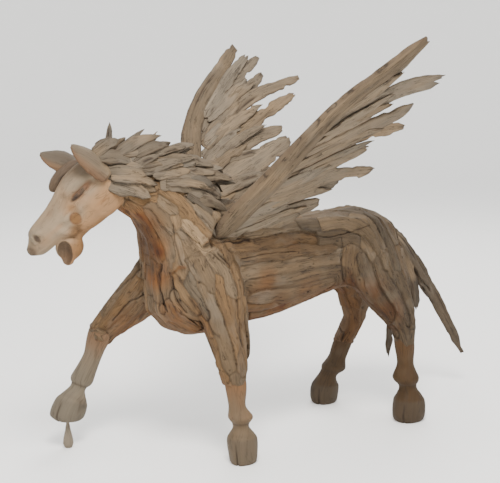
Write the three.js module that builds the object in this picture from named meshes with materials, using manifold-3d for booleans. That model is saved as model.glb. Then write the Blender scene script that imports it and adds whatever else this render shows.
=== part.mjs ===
// A striding winged horse put together from driftwood slabs, with a carved head, carved
// lower legs and split hooves. It stands on three hooves, and the raised right fore hoof
// rests on a small drop-shaped prop. The horse faces -X, its left side faces -Y, and the
// origin is the middle of its bounding box, on the ground.
import * as THREE from "three";
import { mergeVertices } from "three/addons/utils/BufferGeometryUtils.js";
import Module from "manifold-3d";

// Driving dimensions in millimetres. Pose, proportions and carving are hundredths of the
// height at the withers, and what is sawn or split to a size has its own size here.
const WITHERS_HEIGHT = 920;
const CLEARANCE = 0.4; // air between pieces that lie against each other
const SLAB_THICKNESS = 13; // of a body slab, above the groove beside it
const SPAR_THICKNESS = 44;
const FEATHER_THICKNESS = 15;
const LOCK_THICKNESS = 20;
const TAIL_THICKNESS = 22;
const EAR_WALL = 11;
const HOOF_SLIT_WIDTH = 7;
const HOOF_SLIT_DEPTH = 16;
const PROP_DIAMETER = 36;
const PROP_FOOT_DIAMETER = 24;
const PROP_TOP_DIAMETER = 10;

const HUNDREDTH = WITHERS_HEIGHT / 100;
const SIDEWAYS = new THREE.Vector3(0, 1, 0);
const LEFT = -1;
const RIGHT = 1;

const WEATHERED = { color: 0x9b8b74, roughness: 0.9 };
const PALE = { color: 0xb3a38c, roughness: 0.8 };
const RUSSET = { color: 0x8a6b4c, roughness: 0.9 };
const BROWN = { color: 0x75624d, roughness: 0.85 };

const wasm = await Module();
wasm.setup();

// A point of the figure, in hundredths of its height at the withers
function at(x, y, z) {
  return new THREE.Vector3(x, y, z).multiplyScalar(HUNDREDTH);
}

// A repeatable source of numbers from 0 to 1
function chances(seed) {
  let state = seed * 2654435761;
  return () => {
    state = (Math.imul(state ^ (state >>> 15), 0x2c1b3c6d) + 0x9e3779b9) | 0;
    return ((state ^ (state >>> 13)) >>> 0) / 4294967296;
  };
}

// Closed solids

function volumeOf(positions, faces) {
  const corner = (i) => new THREE.Vector3().fromArray(positions, 3 * faces[i]);
  let sum = 0;
  for (let i = 0; i < faces.length; i += 3) {
    sum += corner(i).dot(corner(i + 1).cross(corner(i + 2)));
  }
  return sum / 6;
}

// The closed skin through a row of rings that all have as many points
function skin(rings) {
  const sides = rings[0].length;
  const positions = rings.flat().flatMap((point) => point.toArray());
  const last = (rings.length - 1) * sides;
  const faces = [];
  for (let ring = 0; ring < last; ring += sides) {
    for (let j = 0; j < sides; j++) {
      const next = (j + 1) % sides;
      faces.push(ring + j, ring + next, ring + sides + next);
      faces.push(ring + j, ring + sides + next, ring + sides + j);
    }
  }
  for (let j = 1; j + 1 < sides; j++) {
    faces.push(0, j + 1, j, last, last + j, last + j + 1);
  }
  if (volumeOf(positions, faces) < 0) faces.reverse();
  const geometry = new THREE.BufferGeometry();
  geometry.setAttribute("position", new THREE.Float32BufferAttribute(positions, 3));
  geometry.setIndex(faces);
  return geometry;
}

function toSolid(source) {
  const bare = source.clone();
  bare.deleteAttribute("normal");
  bare.deleteAttribute("uv");
  const geometry = mergeVertices(bare, 1e-3);
  return new wasm.Manifold(new wasm.Mesh({
    numProp: 3,
    vertProperties: new Float32Array(geometry.attributes.position.array),
    triVerts: new Uint32Array(geometry.index.array),
  }));
}

// The largest connected body of a solid: what a cut leaves loose is not kept
function toGeometry(solid) {
  const mesh = solid.getMesh();
  const whole = new THREE.BufferGeometry();
  whole.setAttribute("position", new THREE.BufferAttribute(mesh.vertProperties, 3));
  whole.setIndex([...mesh.triVerts]);
  const geometry = mergeVertices(whole, 1e-4);
  const positions = geometry.attributes.position.array;
  const faces = [...geometry.index.array];
  const parent = Array.from({ length: positions.length / 3 }, (_, i) => i);
  const find = (i) => {
    while (parent[i] !== i) {
      parent[i] = parent[parent[i]];
      i = parent[i];
    }
    return i;
  };
  for (let i = 0; i < faces.length; i += 3) {
    parent[find(faces[i + 1])] = find(faces[i]);
    parent[find(faces[i + 2])] = find(faces[i]);
  }
  const bodies = new Map();
  for (let i = 0; i < faces.length; i += 3) {
    const body = find(faces[i]);
    if (!bodies.has(body)) bodies.set(body, []);
    bodies.get(body).push(faces[i], faces[i + 1], faces[i + 2]);
  }
  const sizes = [...bodies.values()].map((list) => ({ list, volume: volumeOf(positions, list) }));
  sizes.sort((a, b) => b.volume - a.volume);
  geometry.setIndex(sizes[0].list);
  return mergeVertices(geometry.toNonIndexed(), 1e-4);
}

// An egg-shaped form with three half sizes
function egg(centre, halves, tilt = 0) {
  return (grow) => {
    const geometry = new THREE.SphereGeometry(1, 8, 5);
    const size = at(...halves).addScalar(grow);
    geometry.scale(size.x, size.y, size.z);
    geometry.rotateY(tilt);
    const place = at(...centre);
    return geometry.translate(place.x, place.y, place.z);
  };
}

// A limb or trunk: a rounded form between a front edge and a back edge. Each station is
// [front x, front z, back x, back z, middle y, half width], measured over its slabs.
// A turn of 0 is the back edge, 0.25 the right side, 0.5 the front edge, 0.75 the left.
class Limb {
  constructor(stations, { fullness = 0.86 } = {}) {
    const through = (point) => new THREE.CatmullRomCurve3(stations.map((s) => point(...s)));
    this.middle = through((fx, fz, bx, bz, y) => at((fx + bx) / 2, y, (fz + bz) / 2));
    this.reach = through((fx, fz, bx, bz) => at((bx - fx) / 2, 0, (bz - fz) / 2));
    this.half = through((fx, fz, bx, bz, y, half) => at(half, 0, 0));
    this.fullness = fullness;
  }

  point(u, turn, lift = 0) {
    const angle = 2 * Math.PI * turn;
    const soften = (value) => Math.sign(value) * Math.abs(value) ** this.fullness;
    const reach = this.reach.getPoint(u);
    reach.setLength(Math.max(1, reach.length() + lift));
    const half = Math.max(1, this.half.getPoint(u).x + lift);
    return this.middle.getPoint(u)
      .addScaledVector(reach, soften(Math.cos(angle)))
      .addScaledVector(SIDEWAYS, half * soften(Math.sin(angle)));
  }

  // Rings along the limb; ringAt(u, grow, ring number) gives one ring's points
  rings(from, to, steps, grow, ringAt) {
    return Array.from({ length: steps + 1 }, (_, i) => {
      const u = from + (to - from) * i / steps;
      const end = i === 0 ? -grow : i === steps ? grow : 0;
      const shift = this.middle.getTangent(u).multiplyScalar(end);
      return ringAt(u, grow, i).map((point) => point.add(shift));
    });
  }

  carved({ from = 0, to = 1, steps = 8, sides = 14 } = {}) {
    return (grow) => skin(this.rings(from, to, steps, grow, (u) => (
      Array.from({ length: sides }, (_, j) => this.point(u, j / sides, grow))
    )));
  }

  // The limb covered with rows of slabs that run along it, with a groove beside each row.
  // A row has a joint at a place of its own, where one slab ends and the next begins.
  slabbed({ from = 0, to = 1, steps = 8, rows = 10, lean = 0, seed = 1 } = {}) {
    const chance = chances(seed);
    const joints = Array.from({ length: rows }, () => 1 + Math.floor(chance() * (steps - 1)));
    const proud = Array.from({ length: rows }, () => 0.75 + 0.25 * chance());
    const widths = Array.from({ length: rows }, () => 0.75 + 0.5 * chance());
    const total = widths.reduce((sum, width) => sum + width, 0);
    return (grow) => skin(this.rings(from, to, steps, grow, (u, _, ring) => {
      const points = [];
      let start = lean * u;
      widths.forEach((width, row) => {
        const span = width / total;
        const height = SLAB_THICKNESS * proud[row] * (ring === joints[row] ? 0.45 : 1);
        points.push(this.point(u, start, grow - SLAB_THICKNESS));
        points.push(this.point(u, start + 0.14 * span, grow - SLAB_THICKNESS + height));
        points.push(this.point(u, start + 0.8 * span, grow - SLAB_THICKNESS + 0.85 * height));
        start += span;
      });
      return points;
    }));
  }
}

// A plank's cross-section: pairs of [share of the half width, share of the half thickness]
const SPLIT_BOARD = [[-1, -0.1], [-0.3, -1], [1, -0.6], [0.75, 0.8], [-0.6, 1]];

// Steps along a plank: [share of its length, share of its width, share of its thickness]
const PLANK_STEPS = [[0, 0.9, 0.8], [0.35, 1, 1], [0.76, 0.9, 0.9], [1, 0.34, 0.5]];

// A plank along a line of points, lying flat against the direction `facing`
function plank(points, facing, width, thickness, options = {}) {
  const { section = SPLIT_BOARD, steps = PLANK_STEPS } = options;
  const curve = new THREE.CatmullRomCurve3(points);
  return (grow) => skin(steps.map(([share, wide, thick], i) => {
    const along = curve.getTangent(share);
    const across = new THREE.Vector3().crossVectors(facing, along).normalize();
    const out = new THREE.Vector3().crossVectors(along, across);
    const end = i === 0 ? -grow : i === steps.length - 1 ? grow : 0;
    return section.map(([side, height]) => curve.getPoint(share)
      .addScaledVector(across, side * (wide * width / 2 + grow))
      .addScaledVector(out, height * (thick * thickness / 2 + grow))
      .addScaledVector(along, end));
  }));
}

// The breast and shoulders, from the withers down: front edge, then back edge
const chestForm = new Limb([
  [-28.6, 79, 8, 97, 0, 11.5],
  [-29.4, 71, 14, 87, 0, 15.4],
  [-29, 62, 15, 73, 0, 16.4],
  [-27, 55.4, 14.4, 60, 0, 15.6],
  [-20.6, 50.6, 9, 52, 0, 12.4],
  [-16, 48.6, 0, 49, 0, 7],
]);

// The trunk behind the shoulders: lower edge, then upper edge
const trunkForm = new Limb([
  [2, 49, 4, 96, 0, 15.6],
  [12, 48.4, 12, 94.6, 0, 16.6],
  [23, 49.8, 23, 91.6, 0, 16.6],
  [35, 52.2, 35, 88.8, 0, 16.2],
  [48, 54.8, 48, 87.4, 0, 16],
  [60, 56.4, 60, 88.8, 0, 16],
  [71, 57, 71, 88.4, 0, 15.5],
  [80, 59, 79.6, 85.4, 0, 12.6],
  [85.4, 63, 85, 81.4, 0, 8],
  [88, 69, 87.6, 76, 0, 3],
]);
const BARREL_END = 0.5;

// The neck: its throat edge, then its crest
const neckForm = new Limb([
  [-44, 99, -44.5, 115, 0.5, 4.6],
  [-39.4, 96.2, -36, 116, 0.5, 6.6],
  [-33.6, 91.2, -26, 112, 0, 9],
  [-29.8, 86, -17, 107, 0, 11.6],
  [-28.8, 79, -8, 102, 0, 14],
  [-28.2, 71, 0, 96, 0, 16],
]);

// The limbs above the carved pieces: front edge, then back edge
const upperLegForms = {
  left_fore_upper_leg: [
    [-22, 79, 0, 86, -10.5, 6],
    [-21.5, 68, 3.6, 71, -12.5, 6.8],
    [-17, 58, 4.6, 60, -14.6, 6.8],
    [-12.8, 50.5, 3, 50.8, -16.2, 6.5],
    [-10.8, 42, 3.3, 42, -17, 6],
    [-9.7, 36.5, 3.1, 36.5, -17.4, 5.4],
    [-7, 30.6, 1.4, 30.6, -18, 4],
  ],
  right_fore_upper_leg: [
    [-22, 80, 0, 86, 10.5, 6],
    [-27.6, 70.8, 1, 69, 13, 6.8],
    [-32.2, 63.4, -8, 56, 17, 6.8],
    [-36.8, 56.4, -22.6, 47.6, 21.5, 6],
    [-39.2, 49, -29.8, 43.2, 24.8, 4.7],
    [-40, 44.4, -31.4, 40.6, 26.2, 4.1],
  ],
  left_hind_upper_leg: [
    [57, 86, 74, 84.6, -8.6, 4],
    [51, 77, 81, 77.6, -11.4, 6.4],
    [49.6, 68, 85, 69.4, -13, 7.4],
    [53.8, 61, 85.8, 62, -13.9, 7.6],
    [60.8, 54.1, 86.2, 54, -14.8, 7],
    [66.2, 48.4, 87.8, 48, -15.4, 6.4],
    [75, 41, 86.8, 41, -16.2, 5.5],
    [76.6, 36, 86.4, 36, -16.9, 4.9],
    [77.9, 31.4, 85.3, 31.4, -17.5, 3.9],
  ],
  right_hind_upper_leg: [
    [57, 86, 74, 84.6, 8.6, 4],
    [51, 77, 81, 77.6, 11.4, 6.4],
    [51.6, 68, 86, 69.4, 13, 7.4],
    [58.4, 61, 88.4, 62, 13.9, 7.6],
    [68, 54.1, 90, 54, 14.6, 7],
    [73.6, 47.6, 91, 48, 15, 6],
    [78.6, 40.4, 88.8, 39.6, 16, 4.9],
    [76, 32.5, 85.6, 30.6, 17, 4.7],
    [73.4, 26.4, 81.6, 24.2, 17.8, 4.1],
  ],
};

// The carved lower legs, from the stump inside the slabs to the sole. The fourth station
// from the end is the crease above the hoof, and the one before it the fetlock.
const lowerLegForms = {
  left_fore_lower_leg: [
    [-5.8, 34, 0.4, 34, -17.7, 3.1],
    [-6, 28.6, 1.2, 28.6, -18.1, 3.5],
    [-5.1, 22.4, 1.2, 22.4, -18.3, 3],
    [-5.1, 18.2, 3.6, 18.2, -18.5, 4.2],
    [-3.5, 14.2, 2.6, 14.2, -18.5, 2.9],
    [-5.6, 9.6, 5.8, 9.6, -18.5, 5.1],
    [-5.1, 3.4, 6.2, 3.4, -18.5, 5],
    [-4.4, 0, 5.5, 0, -18.5, 4.5],
  ],
  right_fore_lower_leg: [
    [-38.4, 48.2, -31.6, 44.8, 25, 3.4],
    [-39.9, 42.5, -32.6, 39.4, 26.8, 3.6],
    [-40.9, 37, -34.2, 34.6, 28.2, 3],
    [-44.4, 28.6, -36.8, 25.4, 31, 4],
    [-45, 24.8, -39.4, 22.2, 31.6, 3],
    [-50.6, 20.2, -38.4, 15.8, 32.6, 4.7],
    [-53, 14.6, -39.6, 11.8, 33, 4.8],
    [-51.4, 11.8, -41.6, 10.3, 33, 3.9],
  ],
  left_hind_lower_leg: [
    [78.3, 35, 84.6, 35, -16.9, 3.2],
    [78, 29, 85.4, 29, -17.6, 3.6],
    [78.2, 24, 85, 24, -18.1, 3.4],
    [76.4, 18.4, 86.6, 18.4, -18.7, 5],
    [79, 14.2, 86, 14.2, -19, 3.5],
    [77, 8.6, 89.6, 8.6, -19, 6],
    [76.4, 3, 90.4, 3, -19, 6],
    [77.4, 0, 89.6, 0, -19, 5.4],
  ],
  right_hind_lower_leg: [
    [78, 31.8, 82.4, 30.4, 17.2, 2.2],
    [73.8, 25.2, 81, 23.2, 17.9, 3.6],
    [72.2, 20, 79.2, 18.2, 18.5, 3.6],
    [69.4, 16.2, 78.8, 13.6, 19, 4.6],
    [67.6, 13.2, 74.6, 10.8, 19, 3.4],
    [63.6, 7.8, 75.2, 7, 19, 5.3],
    [62.8, 3, 75, 3, 19, 5.3],
    [63.6, 0, 74.4, 0, 19, 4.7],
  ],
};

// The slit up each hoof, a thin wedge that is deepest at the sole. The hooves are set a
// little askew, so that their slits look forwards and to the left.
const SLIT_TURN = 0.59;
const HOOF_TOP = 5 / 7; // the share of a lower leg's stations that is above the hoof

function hoofSlit(leg) {
  const toe = leg.point(HOOF_TOP, SLIT_TURN);
  const tip = leg.point(1, SLIT_TURN);
  const down = tip.clone().sub(toe);
  const forward = tip.clone().sub(leg.middle.getPoint(1)).setZ(0).normalize();
  const aside = new THREE.Vector3(-forward.y, forward.x, 0);
  return () => {
    const start = toe.clone().addScaledVector(down, -0.2);
    const end = toe.clone().addScaledVector(down, 1.4);
    const ring = (point, depth) => [
      point.clone().addScaledVector(forward, -depth),
      ...[HOOF_SLIT_WIDTH, -HOOF_SLIT_WIDTH].map((across) => point.clone()
        .addScaledVector(forward, HOOF_SLIT_DEPTH)
        .addScaledVector(aside, across)),
    ];
    return skin([ring(start, 0.2 * HOOF_SLIT_DEPTH), ring(end, HOOF_SLIT_DEPTH)]);
  };
}

// The prop: a turned drop that stands on a small foot and ends in a point in the sole
const PROP_PLACE = at(-46.2, 33, 0);
const PROP_HEIGHT = 11.4 * HUNDREDTH;

function propForm(grow) {
  const rim = [
    [0, 0],
    [PROP_FOOT_DIAMETER / 2, 0],
    [PROP_DIAMETER / 2, 0.14 * PROP_HEIGHT],
    [0.9 * PROP_DIAMETER / 2, 0.3 * PROP_HEIGHT],
    [0.52 * PROP_DIAMETER / 2, 0.6 * PROP_HEIGHT],
    [PROP_TOP_DIAMETER / 2, 0.85 * PROP_HEIGHT],
    [PROP_TOP_DIAMETER / 2, PROP_HEIGHT],
    [0, PROP_HEIGHT],
  ];
  const points = rim.map(([radius, height]) => new THREE.Vector2(
    radius === 0 ? 0 : radius + grow,
    height === 0 ? -grow : height + (height === PROP_HEIGHT ? grow : 0),
  ));
  const geometry = new THREE.LatheGeometry(points, 10);
  geometry.rotateX(Math.PI / 2);
  return geometry.translate(PROP_PLACE.x, PROP_PLACE.y, 0);
}

// The head, in its own frame: X runs along the muzzle, Y to the horse's left, Z to the brow
const HEAD_PLACE = at(-47, 2, 110);
const HEAD_YAW = THREE.MathUtils.degToRad(168);
const HEAD_PITCH = THREE.MathUtils.degToRad(37.2);
const headGroup = new THREE.Group();
headGroup.position.copy(HEAD_PLACE);
headGroup.rotation.set(0, HEAD_PITCH, HEAD_YAW, "ZYX");

const skull = new Limb([
  [-7, -9, -7, 2, 0, 4.4],
  [-3, -12, -3, 5.4, 0, 6],
  [2, -14, 2, 7.6, 0, 7],
  [8, -14.4, 8, 7.6, 0, 7.2],
  [13, -14.2, 13, 5.6, 0, 6.6],
  [17.4, -13.4, 17.4, 3.9, 0, 5.4],
  [22.5, -10.2, 22.5, 2.3, 0, 4.6],
  [27.5, -9.3, 27.5, 1.2, 0, 4.4],
  [31, -10, 31, -0.1, 0, 4.3],
  [33.6, -9.8, 33.6, -2.4, 0, 3.7],
  [35.2, -8, 35.2, -4.4, 0, 1.8],
]);
const jaw = new Limb([
  [11, -14, 17, -8, 0, 4.8],
  [16.4, -15.4, 22, -10.4, 0, 4.6],
  [19.2, -17.6, 25.4, -11.8, 0, 4.4],
  [23.2, -19.2, 28.4, -12, 0, 4.1],
  [27.8, -18.8, 29.6, -14, 0, 2.9],
]);

const bothSides = (form) => [LEFT, RIGHT].map((side) => form(side));
const headShapes = [
  skull.carved({ steps: 10, sides: 12 }),
  jaw.carved({ steps: 4, sides: 8 }),
  ...bothSides((side) => egg([3.4, 4.4 * side, -7], [7, 4, 7.2])), // cheeks
  ...bothSides((side) => egg([10.6, 5.2 * side, 4.4], [5.2, 2.5, 2.3], 0.16)), // brows
  ...bothSides((side) => egg([30.4, 2.7 * side, -2.6], [2.2, 1.7, 2.6])), // nostril rims
];
const headCuts = [
  egg([28.8, 0, -12.4], [5.2, 3, 2.6], 0.5), // mouth
  ...bothSides((side) => egg([9.3, 8.2 * side, 0.2], [4, 1.9, 1.2])), // eyes
  ...bothSides((side) => egg([31.4, 5.2 * side, -2.8], [1.2, 1.5, 1.7])), // nostrils
];

// An ear is a leaf, cupped and hollowed on the side that it faces. The hollow starts
// inside the head and runs out before the tip.
const EAR_CUP = [[-1, 0.3], [-0.7, -0.7], [0, -1], [0.7, -0.7], [1, 0.3], [0, 0.6]];
const EAR_TROUGH = [[-1, 1.4], [-0.8, 0.2], [0, -0.4], [0.8, 0.2], [1, 1.4], [0, 2.6]];
const EAR_STEPS = [[0, 0.9, 0.9], [0.35, 1, 1], [0.7, 0.8, 0.8], [1, 0.3, 0.4]];
const HOLLOW_STEPS = [[0, 0.9, 0.9], [0.4, 1, 1], [0.8, 0.7, 0.8], [1, 0.2, 0.5]];

function earForms({ foot, tip, facing, width }) {
  const middle = foot.clone().lerp(tip, 0.5).addScaledVector(facing, -0.8 * HUNDREDTH);
  const depth = 0.6 * width;
  const start = foot.clone().lerp(tip, -0.12);
  const end = foot.clone().lerp(tip, 0.88).addScaledVector(facing, 0.12 * depth);
  return {
    shell: plank([foot, middle, tip], facing, width, depth, {
      section: EAR_CUP, steps: EAR_STEPS,
    }),
    hollow: plank([start, middle, end], facing, width - 2 * EAR_WALL, depth, {
      section: EAR_TROUGH, steps: HOLLOW_STEPS,
    }),
  };
}
const EARS = {
  left_ear: {
    foot: at(-1.8, 5.4, 1.2), tip: at(1.7, 6.8, 15.4),
    facing: new THREE.Vector3(0.7, -0.71, -0.05).normalize(), width: 8.4 * HUNDREDTH,
  },
  right_ear: {
    foot: at(2.6, -4.4, 5.4), tip: at(10, -7.4, 16.8),
    facing: new THREE.Vector3(0.5, -0.85, -0.2).normalize(), width: 8.8 * HUNDREDTH,
  },
};

// The wings. A wing's own frame runs along its spar, back across its feathers, and out.
const WING_ROOT = [-4, 12, 87];
const WING_ALONG = [0.549, 0.472, 0.69];
const WING_BEHIND = [0.836, -0.341, -0.431];
const WING_OUT = [0.032, 0.813, -0.581];

function onWing(side, along, behind, out = 0) {
  const axis = ([x, y, z]) => new THREE.Vector3(x, side * y, z);
  const root = at(WING_ROOT[0], side * WING_ROOT[1], WING_ROOT[2]);
  return root.addScaledVector(axis(WING_ALONG), along * HUNDREDTH)
    .addScaledVector(axis(WING_BEHIND), behind * HUNDREDTH)
    .addScaledVector(axis(WING_OUT), out);
}

function wingOut(side) {
  return new THREE.Vector3(WING_OUT[0], side * WING_OUT[1], WING_OUT[2]);
}

// A spar's middle line on the wing, and its width
const SPARS = {
  left: {
    line: [[-3, 0], [12, -1.6], [28, -3], [44, -5.4], [62, -6.6], [82, -3.4], [99.8, -0.4]],
    width: 10.6,
  },
  right: {
    line: [[-3, 0], [14, -3.4], [31, -6], [44, -8], [60, -7], [79, -2.4], [94.6, 1]],
    width: 9.4,
  },
};
const SPAR_STEPS = [
  [0, 0.8, 0.8], [0.12, 1, 1], [0.32, 1, 1], [0.5, 0.86, 0.85], [0.68, 0.82, 0.75],
  [0.86, 0.68, 0.6], [1, 0.22, 0.35],
];

// Each feather runs from its foot to its tip on the wing. Its width comes next, and last
// how far it bows away from the spar.
const FEATHERS = {
  left: [
    [[52, -2.4], [96.6, 1], 6, 0.6],
    [[46, -2], [95.8, 25.3], 9.6, -6.2],
    [[40, 1], [80.6, 23.4], 10, 0],
    [[33, 2.5], [72.9, 33.6], 7, -6],
    [[28, 4], [58.4, 25.4], 8, -1.5],
    [[21, 3], [53, 39], 8, -3.6],
    [[14, 4], [40, 31], 9, -1.4],
    [[6, 5], [30.6, 31], 9.6, 0.6],
    [[0, 7], [22, 26], 9, 0],
    [[26, 2], [52, 17], 8.6, 0.6],
    [[13, 3], [35, 18], 8, -0.6],
  ],
  right: [
    [[50, -5], [92.4, 6.6], 7.6, -0.6],
    [[44, -4], [95.6, 12.4], 8, -1.6],
    [[38, -2], [88.4, 16.2], 8.6, -1],
    [[36, -1], [94.4, 32.4], 7, -5.4],
    [[28, 1], [85.6, 32], 8.6, -1.4],
    [[22, 2], [65.6, 30.6], 7.6, -4],
    [[16, 3], [60.4, 34], 9.6, 0.6],
    [[9, 3], [42, 31], 10, -0.4],
    [[3, 6], [28, 28], 9, 0],
    [[22, 0], [50, 12], 8, -0.5],
    [[12, 2], [34, 18], 8, -0.5],
  ],
};

function sparForm(side, { line, width }) {
  const points = line.map(([along, behind]) => onWing(side, along, behind));
  return plank(points, wingOut(side), width * HUNDREDTH, SPAR_THICKNESS, { steps: SPAR_STEPS });
}

const FEATHER_STEPS = [[0, 1, 0.8], [0.35, 1.15, 1], [0.72, 0.85, 0.9], [1, 0.34, 0.5]];

// The feathers lie in three layers, so that each rests on its neighbours
function featherForm(side, [foot, tip, width, bow], index) {
  const layer = ((index % 3) - 1) * 0.8 * FEATHER_THICKNESS;
  const [start, end] = [new THREE.Vector2(...foot), new THREE.Vector2(...tip)];
  const chord = end.clone().sub(start).normalize();
  const bowed = new THREE.Vector2(-chord.y, chord.x).multiplyScalar(bow);
  const middle = start.clone().lerp(end, 0.5).add(bowed);
  const points = [start, middle, end].map((p) => onWing(side, p.x, p.y, layer));
  return plank(points, wingOut(side), width * HUNDREDTH, FEATHER_THICKNESS, {
    steps: FEATHER_STEPS,
  });
}

// The locks of the mane: foot, tip and width
const MANE_LOCKS = [
  [[-50, 1, 112], [-43, 2, 123], 9],
  [[-42.6, 3, 112], [-41.2, 3, 127.2], 5],
  [[-45, 0, 112], [-27.6, 2, 124.6], 9],
  [[-38, 0, 109], [-22.6, 0.6, 123.4], 9],
  [[-36, -4.4, 108], [-12, -5, 117.4], 9.4],
  [[-30, 4, 107], [-8, 3, 117.6], 9.4],
  [[-28, -8.6, 105], [-3, -9, 104.6], 9.4],
  [[-22, 6.6, 106], [4, 7, 105.6], 9.4],
];
const LOCK_STEPS = [[0, 1, 0.9], [0.4, 0.9, 1], [0.76, 0.5, 0.7], [1, 0.1, 0.3]];

function lockForm([foot, tip, width]) {
  const [start, end] = [at(...foot), at(...tip)];
  const middle = start.clone().lerp(end, 0.5).add(at(0, 0, 1));
  const facing = new THREE.Vector3(0, Math.sign(foot[1] || 1), 0.35).normalize();
  return plank([start, middle, end], facing, width * HUNDREDTH, LOCK_THICKNESS, {
    steps: LOCK_STEPS,
  });
}

// The slabs of the tail: their middle line, then their width
const TAIL_SLABS = [
  { line: [[80, 0, 79.6], [92, 0, 72], [104, 0, 58.6], [117, 0, 40.6], [131.6, 0, 18.8]], width: 6.4 },
  { line: [[82, 2.4, 76], [93, 3, 68], [103, 3.4, 52], [104.6, 3.4, 42]], width: 5 },
  { line: [[82, -2.6, 77], [92, -3.2, 66], [98.4, -3.4, 54], [101, -3.4, 40.6]], width: 6.2 },
  { line: [[83, 0, 73], [90, 0.6, 62], [95.6, 0.6, 48], [97, 0.4, 37]], width: 5 },
  { line: [[83, 4.6, 72], [89.4, 5, 58], [93.6, 5, 40], [92.8, 5, 22]], width: 4 },
];

function tailForm({ line, width }) {
  const points = line.map((point) => at(...point));
  return plank(points, SIDEWAYS, width * HUNDREDTH, TAIL_THICKNESS);
}

// Putting the pieces together. A piece is the union of its shapes, less its own cuts and
// less every piece named in `around`, which keep the clearance to it.
const horse = new THREE.Group();
horse.add(headGroup);
headGroup.updateMatrix();
const made = new Map();

function grown(name) {
  const piece = made.get(name);
  if (!piece.grown) piece.grown = fuse(piece.shapes, CLEARANCE, piece.matrix);
  return piece.grown;
}

function fuse(shapes, grow, matrix) {
  return shapes.map((shape) => {
    const geometry = shape(grow);
    if (matrix) geometry.applyMatrix4(matrix);
    return toSolid(geometry);
  }).reduce((sum, next) => sum.add(next));
}

function addPiece(name, finish, shapes, { cuts = [], around = [], parent = horse } = {}) {
  const turned = parent === headGroup;
  let solid = fuse(shapes, 0);
  for (const cut of cuts) solid = solid.subtract(toSolid(cut(0)));
  for (const other of around) {
    const inner = turned ? fuse(made.get(other).shapes, CLEARANCE) : grown(other);
    solid = solid.subtract(inner);
  }
  const mesh = new THREE.Mesh(
    toGeometry(solid),
    new THREE.MeshStandardMaterial({ ...finish, metalness: 0, flatShading: true }),
  );
  mesh.name = name;
  parent.add(mesh);
  made.set(name, { shapes, matrix: turned ? headGroup.matrix : null });
}

addPiece("head", PALE, headShapes, { cuts: headCuts, parent: headGroup });
for (const [name, ear] of Object.entries(EARS)) {
  const { shell, hollow } = earForms(ear);
  addPiece(name, PALE, [shell], { cuts: [hollow], around: ["head"], parent: headGroup });
}

addPiece("hoof_prop", WEATHERED, [propForm]);
for (const [name, stations] of Object.entries(lowerLegForms)) {
  const leg = new Limb(stations, { fullness: 0.92 });
  const carving = leg.carved({ steps: stations.length - 1, sides: 12 });
  const finish = name.includes("hind") ? BROWN : WEATHERED;
  const around = name === "right_fore_lower_leg" ? ["hoof_prop"] : [];
  addPiece(name, finish, [carving], { cuts: [hoofSlit(leg)], around });
}

for (const [side, name] of [[LEFT, "left"], [RIGHT, "right"]]) {
  addPiece(`${name}_wing_spar`, WEATHERED, [sparForm(side, SPARS[name])]);
}

Object.entries(upperLegForms).forEach(([name, stations], index) => {
  const leg = new Limb(stations).slabbed({ steps: 5, rows: 5, lean: 0.08, seed: 11 + index });
  const side = name.split("_")[0];
  addPiece(name, WEATHERED, [leg], {
    around: [name.replace("upper", "lower"), `${side}_wing_spar`],
  });
});
const foreLegs = ["left_fore_upper_leg", "right_fore_upper_leg"];
const hindLegs = ["left_hind_upper_leg", "right_hind_upper_leg"];
const spars = ["left_wing_spar", "right_wing_spar"];

addPiece("neck", WEATHERED, [neckForm.slabbed({ steps: 5, rows: 8, seed: 21 })], {
  around: ["head", "left_ear", "right_ear", ...foreLegs, ...spars],
});
addPiece("chest", RUSSET, [chestForm.slabbed({ steps: 4, rows: 7, seed: 4 })], {
  around: ["neck", ...foreLegs, ...spars],
});
addPiece("barrel", WEATHERED, [trunkForm.slabbed({ to: BARREL_END, steps: 4, rows: 9, seed: 5 })], {
  around: ["neck", "chest", ...foreLegs, ...hindLegs, ...spars],
});
addPiece("croup", WEATHERED, [trunkForm.slabbed({ from: BARREL_END, steps: 4, rows: 7, seed: 7 })], {
  around: ["barrel", ...hindLegs],
});
const bodyNames = ["neck", "chest", "barrel"];

TAIL_SLABS.forEach((tail, index) => {
  const before = Array.from({ length: index }, (_, i) => `tail_slab_${i + 1}`);
  addPiece(`tail_slab_${index + 1}`, index % 2 ? RUSSET : WEATHERED, [tailForm(tail)], {
    around: ["croup", ...hindLegs, ...before],
  });
});

MANE_LOCKS.forEach((lock, index) => {
  const before = Array.from({ length: index }, (_, i) => `mane_lock_${i + 1}`);
  addPiece(`mane_lock_${index + 1}`, index % 2 ? PALE : WEATHERED, [lockForm(lock)], {
    around: ["head", "left_ear", "right_ear", ...bodyNames, ...spars, ...before],
  });
});
const locks = MANE_LOCKS.map((_, index) => `mane_lock_${index + 1}`);

for (const [side, wing] of [[LEFT, "left"], [RIGHT, "right"]]) {
  FEATHERS[wing].forEach((feather, index) => {
    const before = Array.from({ length: index }, (_, i) => `${wing}_feather_${i + 1}`);
    const finish = index % 2 ? PALE : WEATHERED;
    addPiece(`${wing}_feather_${index + 1}`, finish, [featherForm(side, feather, index)], {
      around: [`${wing}_wing_spar`, ...bodyNames, ...locks, ...before],
    });
  });
}

// The origin goes to the middle of the bounding box, on the ground
horse.updateMatrixWorld(true);
const box = new THREE.Box3().setFromObject(horse, true);
const centre = box.getCenter(new THREE.Vector3());
horse.position.set(-centre.x, -centre.y, -box.min.z);
horse.updateMatrixWorld(true);

export default horse;
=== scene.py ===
# The looks of a striding winged horse built from driftwood slabs: separate slabs over the
# body, a carved head, carved lower legs, split planks for wings, mane and tail.
import math

import bpy
import numpy as np
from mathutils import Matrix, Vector
from mathutils.kdtree import KDTree


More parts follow.
